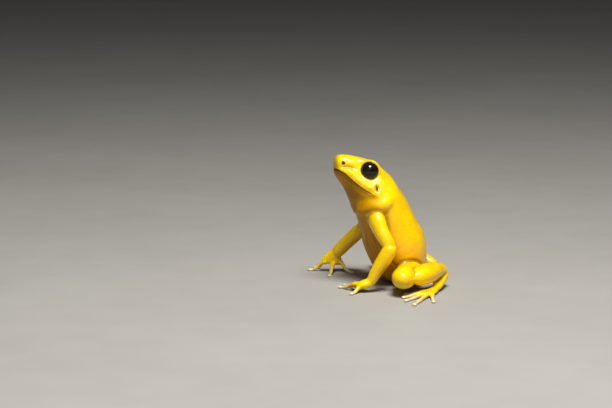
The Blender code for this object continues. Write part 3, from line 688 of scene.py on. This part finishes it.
mouth = mouth_line()
for _ in range(4):
    mouth[1:-1] = 0.5 * mouth[1:-1] + 0.25 * (mouth[:-2] + mouth[2:])
along, above, across = head_measures(points)
near = (along > -3.0) & (along < 15.0) & (np.abs(above - mouth_height(along)) < 3.2)
offset, distance, place = to_path(points[near], mouth)
points[near] = drawn_together(points[near], offset, distance, 0.55, 0.55)
offset, distance, place = to_path(points[near], mouth)
ends = soft_ends(place, 0.05, 0.05)
level = (above - mouth_height(along))[near]
upper_lip = bell(level - 1.4, 0.80) * soft_step(3.4, 1.6, distance) * soft_step(0.5, 3.0, along[near])
lower_lip = bell(level + 0.75, 0.55) * soft_step(3.0, 0.6, distance)
push = (0.34 * upper_lip - 0.12 * lower_lip - MOUTH_DEPTH * bell(distance, MOUTH_WIDTH)) * ends
points[near] += normals[near] * push[:, None]
mouth_mask = np.zeros(len(points))
line_width = 0.25 + 0.24 * soft_step(1.0, -0.6, along[near])
line_strength = 0.78 + 0.22 * np.sin(2.1 * along[near] + 1.5) * np.sin(5.3 * along[near])
mouth_mask[near] = line_strength * bell(distance, line_width) * soft_ends(place, 0.16, 0.16)
print("mouth:", len(mouth), "points on its line")

# %% The eyelids
OPENING = math.radians(62.0)
CORNER_OPENING = math.radians(21.0)
UPPER_LID_DROOP = math.radians(9.0)
LID_EDGE = math.radians(4.5)
SUNK = 0.4


def around_eye(points, middle, look, up):
    """Distance from the eye's middle, angle from the way it looks, and turn round that from up."""
    away = points - middle
    distance = np.linalg.norm(away, axis=-1)
    angle = np.arccos(np.clip(away @ look / np.maximum(distance, 1e-9), -1.0, 1.0))
    turn = np.arctan2(away @ np.cross(look, up), away @ up)
    return distance, angle, turn


def with_lids(points, middle, look, up):
    """Skin near an eye. Its points are drawn towards the lids' edge, then those inside the
    opening sink under the ball and a fine bead stands along the edge."""
    distance, angle, turn = around_eye(points, middle, look, up)
    opening = OPENING + CORNER_OPENING * np.sin(turn)**2 - UPPER_LID_DROOP * np.cos(turn)
    hinge = unit(np.cross(look, points - middle))
    near = soft_step(EYE_RADIUS + 2.6, EYE_RADIUS + 0.9, distance)
    pull = -(angle - opening) * 0.6 * bell(angle - opening, math.radians(15.0)) * near
    offset = points - middle
    cosine, sine = np.cos(pull)[:, None], np.sin(pull)[:, None]
    points = middle + offset * cosine + np.cross(hinge, offset) * sine
    angle = angle + pull
    inside = soft_step(opening + LID_EDGE, opening - LID_EDGE, angle) * near
    bead = 0.10 * bell(angle - opening - math.radians(8.0), math.radians(5.0)) * near
    target = np.minimum(distance, EYE_RADIUS - SUNK)
    radius = distance * (1.0 - inside) + target * inside + bead
    rim = bell(angle - opening - math.radians(2.0), math.radians(2.5))
    rim = rim * soft_step(0.75, 0.45, radius - EYE_RADIUS)
    return middle + unit(points - middle) * radius[:, None], rim, turn


RIM_TURN = math.radians(42.0)
rim_mask = np.zeros(len(points))
for side, (middle, look, up) in zip((1, -1), EYES.values()):
    points, rim, turn = with_lids(points, middle, look, up)
    lower_back = soft_step(-0.70, -0.96, np.cos(turn - side * RIM_TURN))
    rim_mask = np.maximum(rim_mask, rim * lower_back)
print("lid rims: %.0f points" % (rim_mask > 0.3).sum())

# %% Nostrils, eardrums and the ridges between
NOSTRIL = (0.2, 2.2)
NOSTRIL_RADIUS = 0.50
EARDRUM = (11.6, 1.2)
EARDRUM_RADIUS = 1.15
JAW_KNOB = (12.6, -0.3)
GROOVE = ((-1.1, 0.5), (-0.3, 0.8), (0.5, 1.2), (1.5, 1.95), (2.6, 2.4), (3.7, 2.65), (4.8, 2.9))
RIDGE = ((-0.2, 3.7), (1.6, 4.2), (3.4, 4.8), (5.0, 5.4))
nostril_mask, ear_mask, lore_shade_mask = np.zeros((3, len(points)))
normals = outward(points, squares)
upright = np.array((0.0, 0.0, 1.0))
for side in (1, -1):
    spot, out = head_spot(*NOSTRIL, side)
    offset = points - spot
    distance = np.linalg.norm(offset, axis=-1)
    points = drawn_together(points, offset, distance, 0.9, 0.35)
    distance = np.linalg.norm(points - spot, axis=-1)
    pit = np.exp(-(distance / NOSTRIL_RADIUS)**4)
    points += normals * (0.10 * bell(distance - 0.75, 0.28) - 0.62 * pit)[:, None]
    nostril_mask = np.maximum(nostril_mask, np.exp(-(distance / (NOSTRIL_RADIUS * 1.05))**4))

    groove = np.stack([head_spot(a, h, side)[0] for a, h in GROOVE])
    offset, distance, place = to_path(points, groove)
    crease = bell(distance, 0.40) * soft_step(1.0, 0.6, place) * soft_step(0.2, 0.5, place)
    shelf = bell(distance, 0.85) * soft_step(1.0, 0.75, place)
    behind_tip = 0.25 + 0.75 * soft_step(0.1, 0.4, place)
    points -= normals * (0.36 * shelf * behind_tip + 0.09 * crease)[:, None]
    # The crease also gets olive painted shade through the fold mask.
    fold = np.maximum(fold, 0.9 * crease)
    # The hollow before the eye gets orange painted shade through the lore mask.
    lore_shade_mask = np.maximum(lore_shade_mask, shelf)
    ridge = np.stack([head_spot(a, h, side)[0] for a, h in RIDGE])
    distance = to_path(points, ridge)[1]
    points += normals * (0.16 * bell(distance, 0.75))[:, None]

    spot, out = head_spot(*EARDRUM, side)
    tall = unit(upright - (upright @ out) * out)
    wide = np.cross(out, tall)
    away = points - spot
    a, b = away @ wide, away @ tall
    ring = np.hypot(a / 0.85, b / 1.2)
    facing = soft_step(2.5, 1.5, np.abs(away @ out))
    drum = soft_step(1.0, 0.6, ring / EARDRUM_RADIUS) * facing
    rim = bell(ring - EARDRUM_RADIUS * 1.05, 0.3) * facing
    slit = bell(a / 0.26, 1.0) * bell(b / 0.75, 1.0) * facing
    points += normals * (0.04 * rim - 0.18 * drum - 0.22 * slit)[:, None]
    ear_mask = np.maximum(ear_mask, np.clip(slit * 1.1 + drum * 0.25, 0.0, 1.0))

    spot, out = head_spot(*JAW_KNOB, side)
    distance = np.linalg.norm(points - spot, axis=-1)
    points += normals * (0.38 * bell(distance, 1.1))[:, None]
print("nostril points:", int((nostril_mask > 0.5).sum()), "ear points:", int((ear_mask > 0.5).sum()))

# %% [markdown]
# Upright, the animal's loose belly hangs in a few long folds between its arms, and the flank has
# fainter ones that run round the trunk. Regular waves would look like corduroy, so each fold is a
# line of its own that sways, with its own place, length and depth. A few more cross the throat.

# %% Long folds of loose skin
def loose_folds(across, along, places, ends, width, seed):
    """Depth from 0 to 1: for each fold a bell across its swaying line, which is its place plus two
    sines of the way along, times soft steps at both of its ends."""
    random = np.random.default_rng(seed)
    depth = np.zeros(len(across))
    for place, (low_end, high_end) in zip(places, ends):
        sizes, phases = random.uniform((0.3, 0.08), (0.6, 0.20)), random.uniform(0.0, 2 * math.pi, 2)
        line = place + sizes[0] * np.sin(along / 3.1 + phases[0])
        line = line + sizes[1] * np.sin(along / 1.1 + phases[1])
        length = soft_step(low_end - 1.0, low_end + 1.5, along)
        length = length * soft_step(high_end + 1.0, high_end - 1.5, along)
        depth = np.maximum(depth, random.uniform(0.5, 1.0) * bell(across - line, width) * length)
    return depth


arm_distance = np.full(len(points), np.inf)
for name in ("left_upper_arm", "left_forearm", "right_upper_arm", "right_forearm"):
    rows = np.array(LIMBS[name][0])
    offset, distance, place = to_path(points, rows[:, :3])
    radius = np.interp(place, np.linspace(0.0, 1.0, len(rows)), rows[:, 3])
    arm_distance = np.minimum(arm_distance, distance - radius)
off_arms = soft_step(0.15, 0.9, arm_distance)
normals = outward(points, squares)
TRUNK_UP = unit(np.array((0.55, 0.0, 0.84)))
TRUNK_FRONT = np.array((TRUNK_UP[2], 0.0, -TRUNK_UP[0]))
fronting = normals @ TRUNK_FRONT
height, aside = points[:, 2], np.abs(points[:, 1])
chest = (soft_step(0.0, 0.5, fronting) * off_arms * soft_step(23.0, 19.0, height)
         * soft_step(1.5, 5.0, height) * soft_step(10.5, 8.0, aside))
side_face = (soft_step(0.4, 0.8, np.abs(normals[:, 1])) * off_arms * soft_step(1.5, 5.0, height)
             * soft_step(22.0, 16.0, height) * soft_step(10.3, 9.0, aside)
             * soft_step(10.0, 7.0, points[:, 0]))
along_trunk, outward_trunk = points @ TRUNK_UP, points @ TRUNK_FRONT
folded = chest * loose_folds(
    points[:, 1], along_trunk, (-7.0, -5.2, -3.6, -1.3, 0.9, 2.6, 4.1, 5.6, 7.2),
    ((9, 18), (11, 22), (7, 16), (12, 23), (8, 20), (13, 22), (6, 19), (10, 22), (9, 18)), 0.30, 3)
ringed = side_face * loose_folds(
    along_trunk, outward_trunk, (3.6, 5.0, 6.2, 8.1, 10.4, 13.5),
    ((-6, 2), (-5, 0), (-7, 3), (-4, 3), (-7, 1), (-5, 1)), 0.42, 8)
along, above, across = head_measures(points)
throat = soft_step(-2.5, -4.0, above) * soft_step(5.0, 8.0, along) * soft_step(16.0, 13.0, along)
gathered = throat * loose_folds(
    along + 0.45 * above, across, (5.4, 6.6, 7.6, 8.9),
    ((-6, 4), (-3, 6), (-7, 3), (-4, 7)), 0.34, 5)
points -= normals * (0.30 * folded + 0.09 * ringed + 0.13 * gathered)[:, None]
# The deep belly folds and the throat folds also get olive painted shade through the fold mask.
fold = np.maximum(fold, np.maximum(0.9 * folded**1.5, 0.5 * gathered))
print("long folds: %.3f of the skin" % (folded + ringed > 0.3).mean())

# %% [markdown]
# A frog's back isn't plain either. Where it bends, the hips show: two long bones run back from the
# hump on both sides of a shallow furrow and end at the vent, a small puckered pit above the thighs.

# %% Hips, furrow and vent
VENT_PLACE = 17.3


def back_line(places, angles):
    """Points of the trunk's skin at pairs of place and angle from the back's middle."""
    return np.stack([body_spot(place, angle)[0] for place, angle in zip(places, angles)])


normals = outward(points, squares)
for side in (1, -1):
    bone = back_line((12.6, 13.8, 15.0, 16.2), (side * 32, side * 27, side * 20, side * 14))
    offset, distance, place = to_path(points, bone)
    points += normals * (0.16 * bell(distance, 0.9) * soft_ends(place, 0.3, 0.2))[:, None]
offset, distance, place = to_path(points, back_line((9.0, 11.0, 13.0, 15.0, 16.6), (0, 0, 0, 0, 0)))
points -= normals * (0.11 * bell(distance, 0.75) * soft_ends(place, 0.3, 0.15))[:, None]
spot, out = body_spot(VENT_PLACE, 0)
distance = np.linalg.norm(points - spot, axis=-1)
points += normals * (0.13 * bell(distance - 0.85, 0.35) - 0.38 * bell(distance, 0.42))[:, None]
# The vent's pit gets olive painted shade through the fold mask.
fold = np.maximum(fold, 0.8 * bell(distance, 0.4))
print("vent at", np.round(spot, 1).tolist())

# %% [markdown]
# What lies on the ground is flat underneath, as a soft body is where it rests. Then the surface is
# read for its hollows: the difference between the skin and a much smoother copy of it is a map of
# how deep each point lies in a fold, and the colour uses it for an olive painted shade there.

# %% Resting flats and a map of the hollows for painted shade
points[:, 2] = np.maximum(points[:, 2], 0.0)
normals = outward(points, squares)
hollow = hollows(points, pairs, squares, by_detail(40))
# The hollow mask gives olive painted shade where the skin lies deep.
hollow_shade_mask = spread(soft_step(0.01, 0.16, hollow) * away_from_eyes(points), pairs, by_detail(16))
print("deepest hollow: %.2f mm" % hollow.max())

# %% Masks for the markings and the painted shade
along, above, across = head_measures(points)
level, height, aside = above - mouth_height(along), points[:, 2], np.abs(points[:, 1])
# Painted shade: the throat below the mouth line is brown, darker towards the neck and just under the lip.
throat_shade_mask = (soft_step(0.25, -0.1, level) * soft_step(15.5, 12.0, along)
               * soft_step(-4.0, -1.0, along) * (1.0 - lobe_mask))
lip_shade = bell(level + 0.35, 0.5) * soft_step(13.0, 9.5, along)
throat_shade = throat_shade_mask * np.maximum(0.6 * soft_step(2.0, 7.0, along), 0.8 * lip_shade)
hollow_shade_mask = np.maximum(hollow_shade_mask, throat_shade)
# Painted shade: the front of the snout below the nostrils turns orange with the hollow before the eye.
muzzle = soft_step(1.9, -0.3, along) * soft_step(2.6, 0.8, level)
lore_shade_mask = np.maximum(lore_shade_mask, 0.8 * muzzle)
# Painted shade: brown on the throat and on the trunk between the arms where it faces forward and down.
underside_shade_mask = np.maximum(throat_shade_mask, soft_step(-0.05, 0.55, fronting) * off_arms
                        * soft_step(10.5, 8.5, aside) * soft_step(31.0, 24.0, height))
# Low on the flanks the skin turns more orange, partly its own tone and partly painted shade.
flank_tone_and_shade_mask = soft_step(15.0, 7.0, height) * soft_step(3.0, 7.0, height) * soft_step(10.5, 9.0, aside)
tip_mask = np.zeros(len(points))
for name, root, heading, length in digit_lines:
    run = np.array((math.cos(heading), math.sin(heading)))
    reach = (points[:, :2] - root[:2]) @ run
    aside = np.abs((points[:, :2] - root[:2]) @ np.array((-run[1], run[0])))
    on_digit = (aside < 1.0) & (points[:, 2] < root[2] + 1.0) & (reach < length + 1.0)
    tip_mask = np.maximum(tip_mask, soft_step(1.5, length - 1.0, reach) * on_digit)
print("masks: belly %.3f, tips %.3f" % (underside_shade_mask.mean(), tip_mask.mean()))

# %% [markdown]
# The fine skin has more squares than anyone needs. The Decimate modifier merges the flattest ones
# first, so the eyes, lips and fingers keep their points, and the masks ride along as attributes of
# the points.

# %% The skin as one object
SKIN_TRIANGLES = 190_000
MASKS = {"mouth_line": mouth_mask, "lid_rim": rim_mask, "nostril_pit": nostril_mask, "ear": ear_mask,
         "hollow": hollow_shade_mask, "fold": fold, "belly": underside_shade_mask, "flank_tone_and_shade": flank_tone_and_shade_mask,
         "lore_painted_shade": lore_shade_mask, "digit_tip": tip_mask}


def add_masks(mesh, masks):
    """One float for each point and mask, which materials read by name."""
    for name, values in masks.items():
        mesh.attributes.new(name, "FLOAT", "POINT").data.foreach_set("value", values.astype(np.float32))


fine.vertices.foreach_set("co", (points * MM).astype(np.float32).ravel())
fine.update()
add_masks(fine, MASKS)
share = min(1.0, SKIN_TRIANGLES / (2 * len(squares)))
skin_mesh = evaluated_copy(fine, "DECIMATE", decimate_type="COLLAPSE", ratio=share,
                           use_collapse_triangulate=True)
skin_mesh.shade_smooth()
skin = bpy.data.objects.new("skin", skin_mesh)
bpy.context.scene.collection.objects.link(skin)
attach(skin, "root")
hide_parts(*FLESH_NODES)
print("skin:", len(skin_mesh.polygons), "triangles")

# %% [markdown]
# The eye is a ball with a slightly raised clear front. Its pole looks out, so the angle from the
# pole and the turn round it are natural coordinates for the pupil and the streaks of the iris.

# %% The eyes
def eye_points(middle, look, up, rings, sides):
    """Ball whose pole is the way it looks, swollen by 3 percent of its radius round the pole, and
    for each point the angle from the pole, and how far it lies up and aside of it."""
    polar = np.linspace(0.015, math.pi - 0.015, rings)[:, None]
    turn = np.linspace(0.0, 2 * math.pi, sides, endpoint=False)[None, :]
    radius = EYE_RADIUS * (1.0 + 0.03 * bell(polar, 0.7))[..., None]
    side = np.cross(look, up)
    way = (np.cos(polar)[..., None] * look + (np.sin(polar) * np.cos(turn))[..., None] * up
           + (np.sin(polar) * np.sin(turn))[..., None] * side)
    measures = polar * np.ones_like(turn), np.sin(polar) * np.cos(turn), np.sin(polar) * np.sin(turn)
    return middle + radius * way, measures


def make_eye(side):
    """One eye as an object, with its coordinates from the pupil stored on its points. Its rings run
    round so that the faces would point inwards, and so they are turned."""
    grid, measures = eye_points(*EYES[side], 72, 96)
    mesh = joined([solid(grid * MM)], f"{side}_eyeball")
    mesh.flip_normals()
    names, at_hubs = ("from_pupil", "gaze_up", "gaze_side"), ((0.0, math.pi), (0.0, 0.0), (0.0, 0.0))
    add_masks(mesh, {name: np.append(values.ravel(), hubs)
                     for name, values, hubs in zip(names, measures, at_hubs)})
    mesh.shade_smooth()
    eye = bpy.data.objects.new(f"{side}_eyeball", mesh)
    bpy.context.scene.collection.objects.link(eye)
    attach(eye, "root")
    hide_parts(EYE_NODES[side])
    return eye


eyes = [make_eye(side) for side in ("left", "right")]
print("eyes:", [eye.name for eye in eyes])


# %% [markdown]
# Shader groups. Both the skin and the eye, and the floor too, need soft clouds of change at several
# sizes, so that is one group. The skin's fine grain is another.

# %% Node helpers
def new_group(name, inputs, outputs):
    """An empty shader group with named float inputs and outputs, and its two end nodes."""
    tree = bpy.data.node_groups.new(name, "ShaderNodeTree")
    for socket, value in inputs.items():
        made = tree.interface.new_socket(socket, in_out="INPUT", socket_type="NodeSocketFloat")
        made.default_value = value
    for socket in outputs:
        tree.interface.new_socket(socket, in_out="OUTPUT", socket_type="NodeSocketFloat")
    return tree, tree.nodes.new("NodeGroupInput"), tree.nodes.new("NodeGroupOutput")


def node(tree, kind, links=None, **settings):
    """A node with its properties set and its inputs linked or filled, by name or number."""
    made = tree.nodes.new(kind)
    for key, value in settings.items():
        setattr(made, key, value)
    for key, value in (links or {}).items():
        if isinstance(value, bpy.types.NodeSocket):
            tree.links.new(value, made.inputs[key])
        else:
            made.inputs[key].default_value = value
    return made


def maths(tree, operation, first, second=0.0, clamp=False):
    """One arithmetic step, and its result."""
    return node(tree, "ShaderNodeMath", {0: first, 1: second}, operation=operation, use_clamp=clamp).outputs[0]


def mixed(tree, share, first, second):
    """Two colours mixed by a share."""
    first, second = (value if isinstance(value, bpy.types.NodeSocket) else (*value, 1.0)
                     for value in (first, second))
    return node(tree, "ShaderNodeMix", {0: share, 6: first, 7: second}, data_type="RGBA").outputs[2]


def remapped(tree, value, low, high, to_low=0.0, to_high=1.0):
    """A value stretched from one range to another and held there."""
    return node(tree, "ShaderNodeMapRange", {0: value, 1: low, 2: high, 3: to_low, 4: to_high}).outputs[0]


def cloud_group():
    """Soft clouds of two sizes added together, from 0 to 1, over Object coordinates."""
    tree, start, end = new_group("soft_clouds", {"Size": 200.0, "Fine Share": 0.35}, ("Cloud",))
    place = node(tree, "ShaderNodeTexCoord").outputs["Object"]
    wide = node(tree, "ShaderNodeTexNoise", {"Vector": place, "Scale": start.outputs["Size"], "Detail": 3.0})
    times = maths(tree, "MULTIPLY", start.outputs["Size"], 5.3)
    tight = node(tree, "ShaderNodeTexNoise", {"Vector": place, "Scale": times, "Detail": 4.0})
    less = maths(tree, "SUBTRACT", 1.0, start.outputs["Fine Share"])
    big = maths(tree, "MULTIPLY", wide.outputs["Fac"], less)
    small = maths(tree, "MULTIPLY", tight.outputs["Fac"], start.outputs["Fine Share"])
    tree.links.new(maths(tree, "ADD", big, small), end.inputs["Cloud"])
    return tree


def grain_group():
    """Height of fine skin: rounded granules, the pits between them and a still finer noise."""
    tree, start, end = new_group("skin_grain", {"Granule Size": 2600.0, "Fineness": 9000.0}, ("Height",))
    place = node(tree, "ShaderNodeTexCoord").outputs["Object"]
    cells = node(tree, "ShaderNodeTexVoronoi", {"Vector": place, "Scale": start.outputs["Granule Size"],
                                               "Smoothness": 0.8}, feature="SMOOTH_F1")
    noise = node(tree, "ShaderNodeTexNoise", {"Vector": place, "Scale": start.outputs["Fineness"],
                                              "Detail": 3.0})
    bumps = maths(tree, "MULTIPLY", maths(tree, "SUBTRACT", 1.0, cells.outputs["Distance"]), 0.8)
    tree.links.new(maths(tree, "ADD", bumps, maths(tree, "MULTIPLY", noise.outputs["Fac"], 0.35)),
                   end.inputs["Height"])
    return tree


CLOUDS, GRAIN = cloud_group(), grain_group()


def placed(tree, group, **values):
    """A group put into a material with its own values."""
    made = tree.nodes.new("ShaderNodeGroup")
    made.node_tree = group
    for key, value in values.items():
        made.inputs[key.replace("_", " ")].default_value = value
    return made.outputs[0]


def masked(tree, name):
    """The value of a mask that the mesh carries."""
    return node(tree, "ShaderNodeAttribute", attribute_name=name).outputs["Fac"]


def new_material(name, **constants):
    """A material with a Principled shader whose plain sockets are set by name."""
    made = bpy.data.materials.new(name)
    made.use_nodes = True
    shader = made.node_tree.nodes["Principled BSDF"]
    for key, value in constants.items():
        shader.inputs[key.replace("_", " ")].default_value = value
    return made, made.node_tree, shader


print("shader groups:", CLOUDS.name, GRAIN.name)

# %% [markdown]
# The skin is an intense, slightly warm yellow under a wet film. It is a shade deeper in soft clouds,
# and the digits fade to a greyish cream at their tips. Low on the flanks it is more orange, partly
# its own tone and partly painted shade. Painted shade makes it orange before the eyes and on the
# front of the snout, brown on the throat and belly, and olive brown in the folds and hollows. The
# mouth line, nostrils and ear slit are nearly black.

# %% Skin material
# The deep yellow and the cream colours are the skin's own. The olive, the underside brown and the orange are
# painted shade, and the orange low on the flanks is partly the skin's own tone.
YELLOW = (0.98, 0.66, 0.0)
DEEP_YELLOW = (0.93, 0.54, 0.0)
ORANGE = (0.78, 0.38, 0.0)
OLIVE_SHADE = (0.20, 0.10, 0.001)
UNDERSIDE_SHADE = (0.50, 0.215, 0.001)
TIP_CREAM = (0.68, 0.66, 0.44)
RIM_CREAM = (0.96, 0.86, 0.48)
NEARLY_BLACK = (0.014, 0.009, 0.004)
MARKINGS_AND_PAINTED_SHADE = (("flank_tone_and_shade", 0.55, ORANGE), ("lore_painted_shade", 0.6, ORANGE), ("belly", 0.92, UNDERSIDE_SHADE),
            ("digit_tip", 0.85, TIP_CREAM))


def skin_material():
    """Yellow, wet skin with its markings and its painted shade from the masks."""
    made, tree, shader = new_material("frog_skin", IOR=1.33, Specular_IOR_Level=0.3, Coat_Roughness=0.22,
                                      Subsurface_Weight=0.12, Subsurface_Scale=0.0012)
    shader.inputs["Subsurface Radius"].default_value = (1.0, 0.55, 0.08)
    clouds = placed(tree, CLOUDS, Size=260.0, Fine_Share=0.30)
    grain = placed(tree, GRAIN, Granule_Size=2600.0, Fineness=9000.0)
    colour = mixed(tree, remapped(tree, clouds, 0.40, 0.66), YELLOW, DEEP_YELLOW)
    # These markings include painted shade: brown on throat and belly, orange before the eyes, and in part on
    # the flanks.
    for name, strength, tone in MARKINGS_AND_PAINTED_SHADE:
        colour = mixed(tree, maths(tree, "MULTIPLY", masked(tree, name), strength), colour, tone)
    # Painted shade: olive brown in the hollows and the folds.
    shade = maths(tree, "MAXIMUM", masked(tree, "hollow"), masked(tree, "fold"))
    colour = mixed(tree, maths(tree, "MULTIPLY", shade, 0.75), colour, OLIVE_SHADE)
    colour = mixed(tree, masked(tree, "lid_rim"), colour, RIM_CREAM)
    dark = maths(tree, "ADD", masked(tree, "nostril_pit"), masked(tree, "ear"), clamp=True)
    dark = maths(tree, "ADD", dark, masked(tree, "mouth_line"), clamp=True)
    colour = mixed(tree, dark, colour, NEARLY_BLACK)
    tree.links.new(colour, shader.inputs["Base Color"])
    rough = remapped(tree, grain, 0.4, 1.0, 0.42, 0.26)
    rough = maths(tree, "ADD", rough, maths(tree, "MULTIPLY", dark, 0.35), clamp=True)
    tree.links.new(rough, shader.inputs["Roughness"])
    wet = remapped(tree, clouds, 0.35, 0.6, 0.55, 0.90)
    dry = remapped(tree, masked(tree, "belly"), 0.0, 1.0, 1.0, 0.05)
    dry = maths(tree, "MULTIPLY", dry, maths(tree, "SUBTRACT", 1.0, dark))
    tree.links.new(maths(tree, "MULTIPLY", wet, dry), shader.inputs["Coat Weight"])
    bump = node(tree, "ShaderNodeBump", {"Strength": 0.5, "Distance": 0.00006, "Height": grain})
    tree.links.new(bump.outputs["Normal"], shader.inputs["Normal"])
    return made


skin.data.materials.clear()
skin.data.materials.append(skin_material())
print("skin material ready")


# %% Eye material
PUPIL_BLACK = (0.005, 0.0038, 0.003)
IRIS_BROWN = (0.020, 0.011, 0.005)


def eye_material():
    """Near black iris with faint brown streaks round a blacker, level oval pupil, under a clear, wet
    front."""
    made, tree, shader = new_material("frog_eye", Roughness=0.04, IOR=1.42)
    clouds = placed(tree, CLOUDS, Size=900.0, Fine_Share=0.5)
    up, aside = masked(tree, "gaze_up"), masked(tree, "gaze_side")
    tall = maths(tree, "MULTIPLY", up, 1.5)
    radius = maths(tree, "SQRT", maths(tree, "ADD", maths(tree, "MULTIPLY", tall, tall),
                                       maths(tree, "MULTIPLY", aside, aside)))
    iris = remapped(tree, radius, 0.36, 0.42)
    edge = remapped(tree, masked(tree, "from_pupil"), 0.6, 1.25, 1.0, 0.0)
    streaks = maths(tree, "MULTIPLY", remapped(tree, clouds, 0.42, 0.62),
                    maths(tree, "MULTIPLY", iris, edge))
    colour = mixed(tree, streaks, PUPIL_BLACK, IRIS_BROWN)
    tree.links.new(colour, shader.inputs["Base Color"])
    return made


wet_black = eye_material()
for eye in eyes:
    eye.data.materials.append(wet_black)
print("eye material ready")

# %% [markdown]
# A plain, pale floor, one soft lamp high above on the frog's left, and a weak, wide one above the
# camera. The highlight in the eye sits high on the ball in the picture, which a high lamp gives.

# %% Floor
FLOOR_RADIUS = 4.0


def make_floor():
    """A wide pale disc: rings of points whose radius grows, just under the frog."""
    radii = np.linspace(0.0, 1.0, 40)[1:, None]**2 * FLOOR_RADIUS
    turn = np.linspace(0.0, 2 * math.pi, 96, endpoint=False)[None, :]
    grid = np.stack([radii * np.cos(turn), radii * np.sin(turn), np.full((39, 96), -0.00002)], -1)
    points, faces = solid(grid)
    mesh = bpy.data.meshes.new("floor")
    kept = [face for face in faces if len(points) - 1 not in face]
    mesh.from_pydata(points, [], kept)
    mesh.shade_smooth()
    return bpy.data.objects.new("floor", mesh)


def floor_material():
    """Matt, pale, warm grey with the faintest clouds."""
    made, tree, shader = new_material("pale_floor", Roughness=0.75)
    clouds = placed(tree, CLOUDS, Size=14.0, Fine_Share=0.4)
    colour = mixed(tree, remapped(tree, clouds, 0.3, 0.7), (0.33, 0.32, 0.30), (0.37, 0.36, 0.34))
    tree.links.new(colour, shader.inputs["Base Color"])
    return made


floor = make_floor()
bpy.context.scene.collection.objects.link(floor)
floor.data.materials.append(floor_material())
print("floor radius:", FLOOR_RADIUS)

# %% Lights
def add_softbox(name, place, aim, size, power, colour=(1.0, 1.0, 1.0)):
    """An oval area light that faces its aim, with its second size running up towards its top."""
    data = bpy.data.lights.new(name, "AREA")
    data.shape = "ELLIPSE"
    data.size, data.size_y = size
    data.energy = power
    data.color = colour
    lamp = bpy.data.objects.new(name, data)
    way = Vector(aim) - Vector(place)
    lamp.matrix_world = Matrix.Translation(place) @ way.to_track_quat("-Z", "Y").to_matrix().to_4x4()
    bpy.context.scene.collection.objects.link(lamp)


FROG_MIDDLE = (0.006, 0.0, 0.018)
add_softbox("overhead", (0.040, 0.200, 0.475), FROG_MIDDLE, (0.22, 0.22), 4.1, (1.0, 0.98, 0.94))
add_softbox("front_fill", (0.20, 0.58, 0.46), FROG_MIDDLE, (0.70, 0.40), 0.5, (1.0, 0.97, 0.92))
world = bpy.data.worlds.new("studio")
world.use_nodes = True
world.node_tree.nodes["Background"].inputs["Color"].default_value = (0.95, 0.97, 1.0, 1.0)
world.node_tree.nodes["Background"].inputs["Strength"].default_value = 0.04
bpy.context.scene.world = world
bpy.context.scene.view_settings.view_transform = "Standard"
print("lights ready")

# %% [markdown]
# The camera looks at the frog's left side and front from ten degrees above the floor, 0.6 m away,
# through a long lens. That is the picture's view as near as it could be judged by fitting. The image
# is 612 by 408, and the frog's origin falls at pixel (410, 281).

# %% Camera
IMAGE_WIDTH, IMAGE_HEIGHT = 612, 408
LENS, SENSOR = 120.0, 36.0
VIEW_TURN, VIEW_RISE = math.radians(70.0), math.radians(10.0)
VIEW_DISTANCE = 0.6
ORIGIN_PIXEL = (410.0, 281.0)
toward = Vector((math.cos(VIEW_RISE) * math.cos(VIEW_TURN), math.cos(VIEW_RISE) * math.sin(VIEW_TURN),
                 math.sin(VIEW_RISE)))
right = Vector((0.0, 0.0, 1.0)).cross(toward).normalized()
above_view = toward.cross(right)
metres_per_pixel = VIEW_DISTANCE * SENSOR / (LENS * IMAGE_WIDTH)
place = (toward * VIEW_DISTANCE - right * (ORIGIN_PIXEL[0] - IMAGE_WIDTH / 2) * metres_per_pixel
         + above_view * (ORIGIN_PIXEL[1] - IMAGE_HEIGHT / 2) * metres_per_pixel)
camera_data = bpy.data.cameras.new("camera")
camera_data.lens, camera_data.sensor_width = LENS, SENSOR
camera_data.clip_start = 0.01
camera = bpy.data.objects.new("camera", camera_data)
axes = Matrix((right, above_view, toward)).transposed().to_4x4()
camera.matrix_world = Matrix.Translation(place) @ axes
bpy.context.scene.collection.objects.link(camera)
bpy.context.scene.camera = camera
print("camera at", [round(x, 4) for x in place])
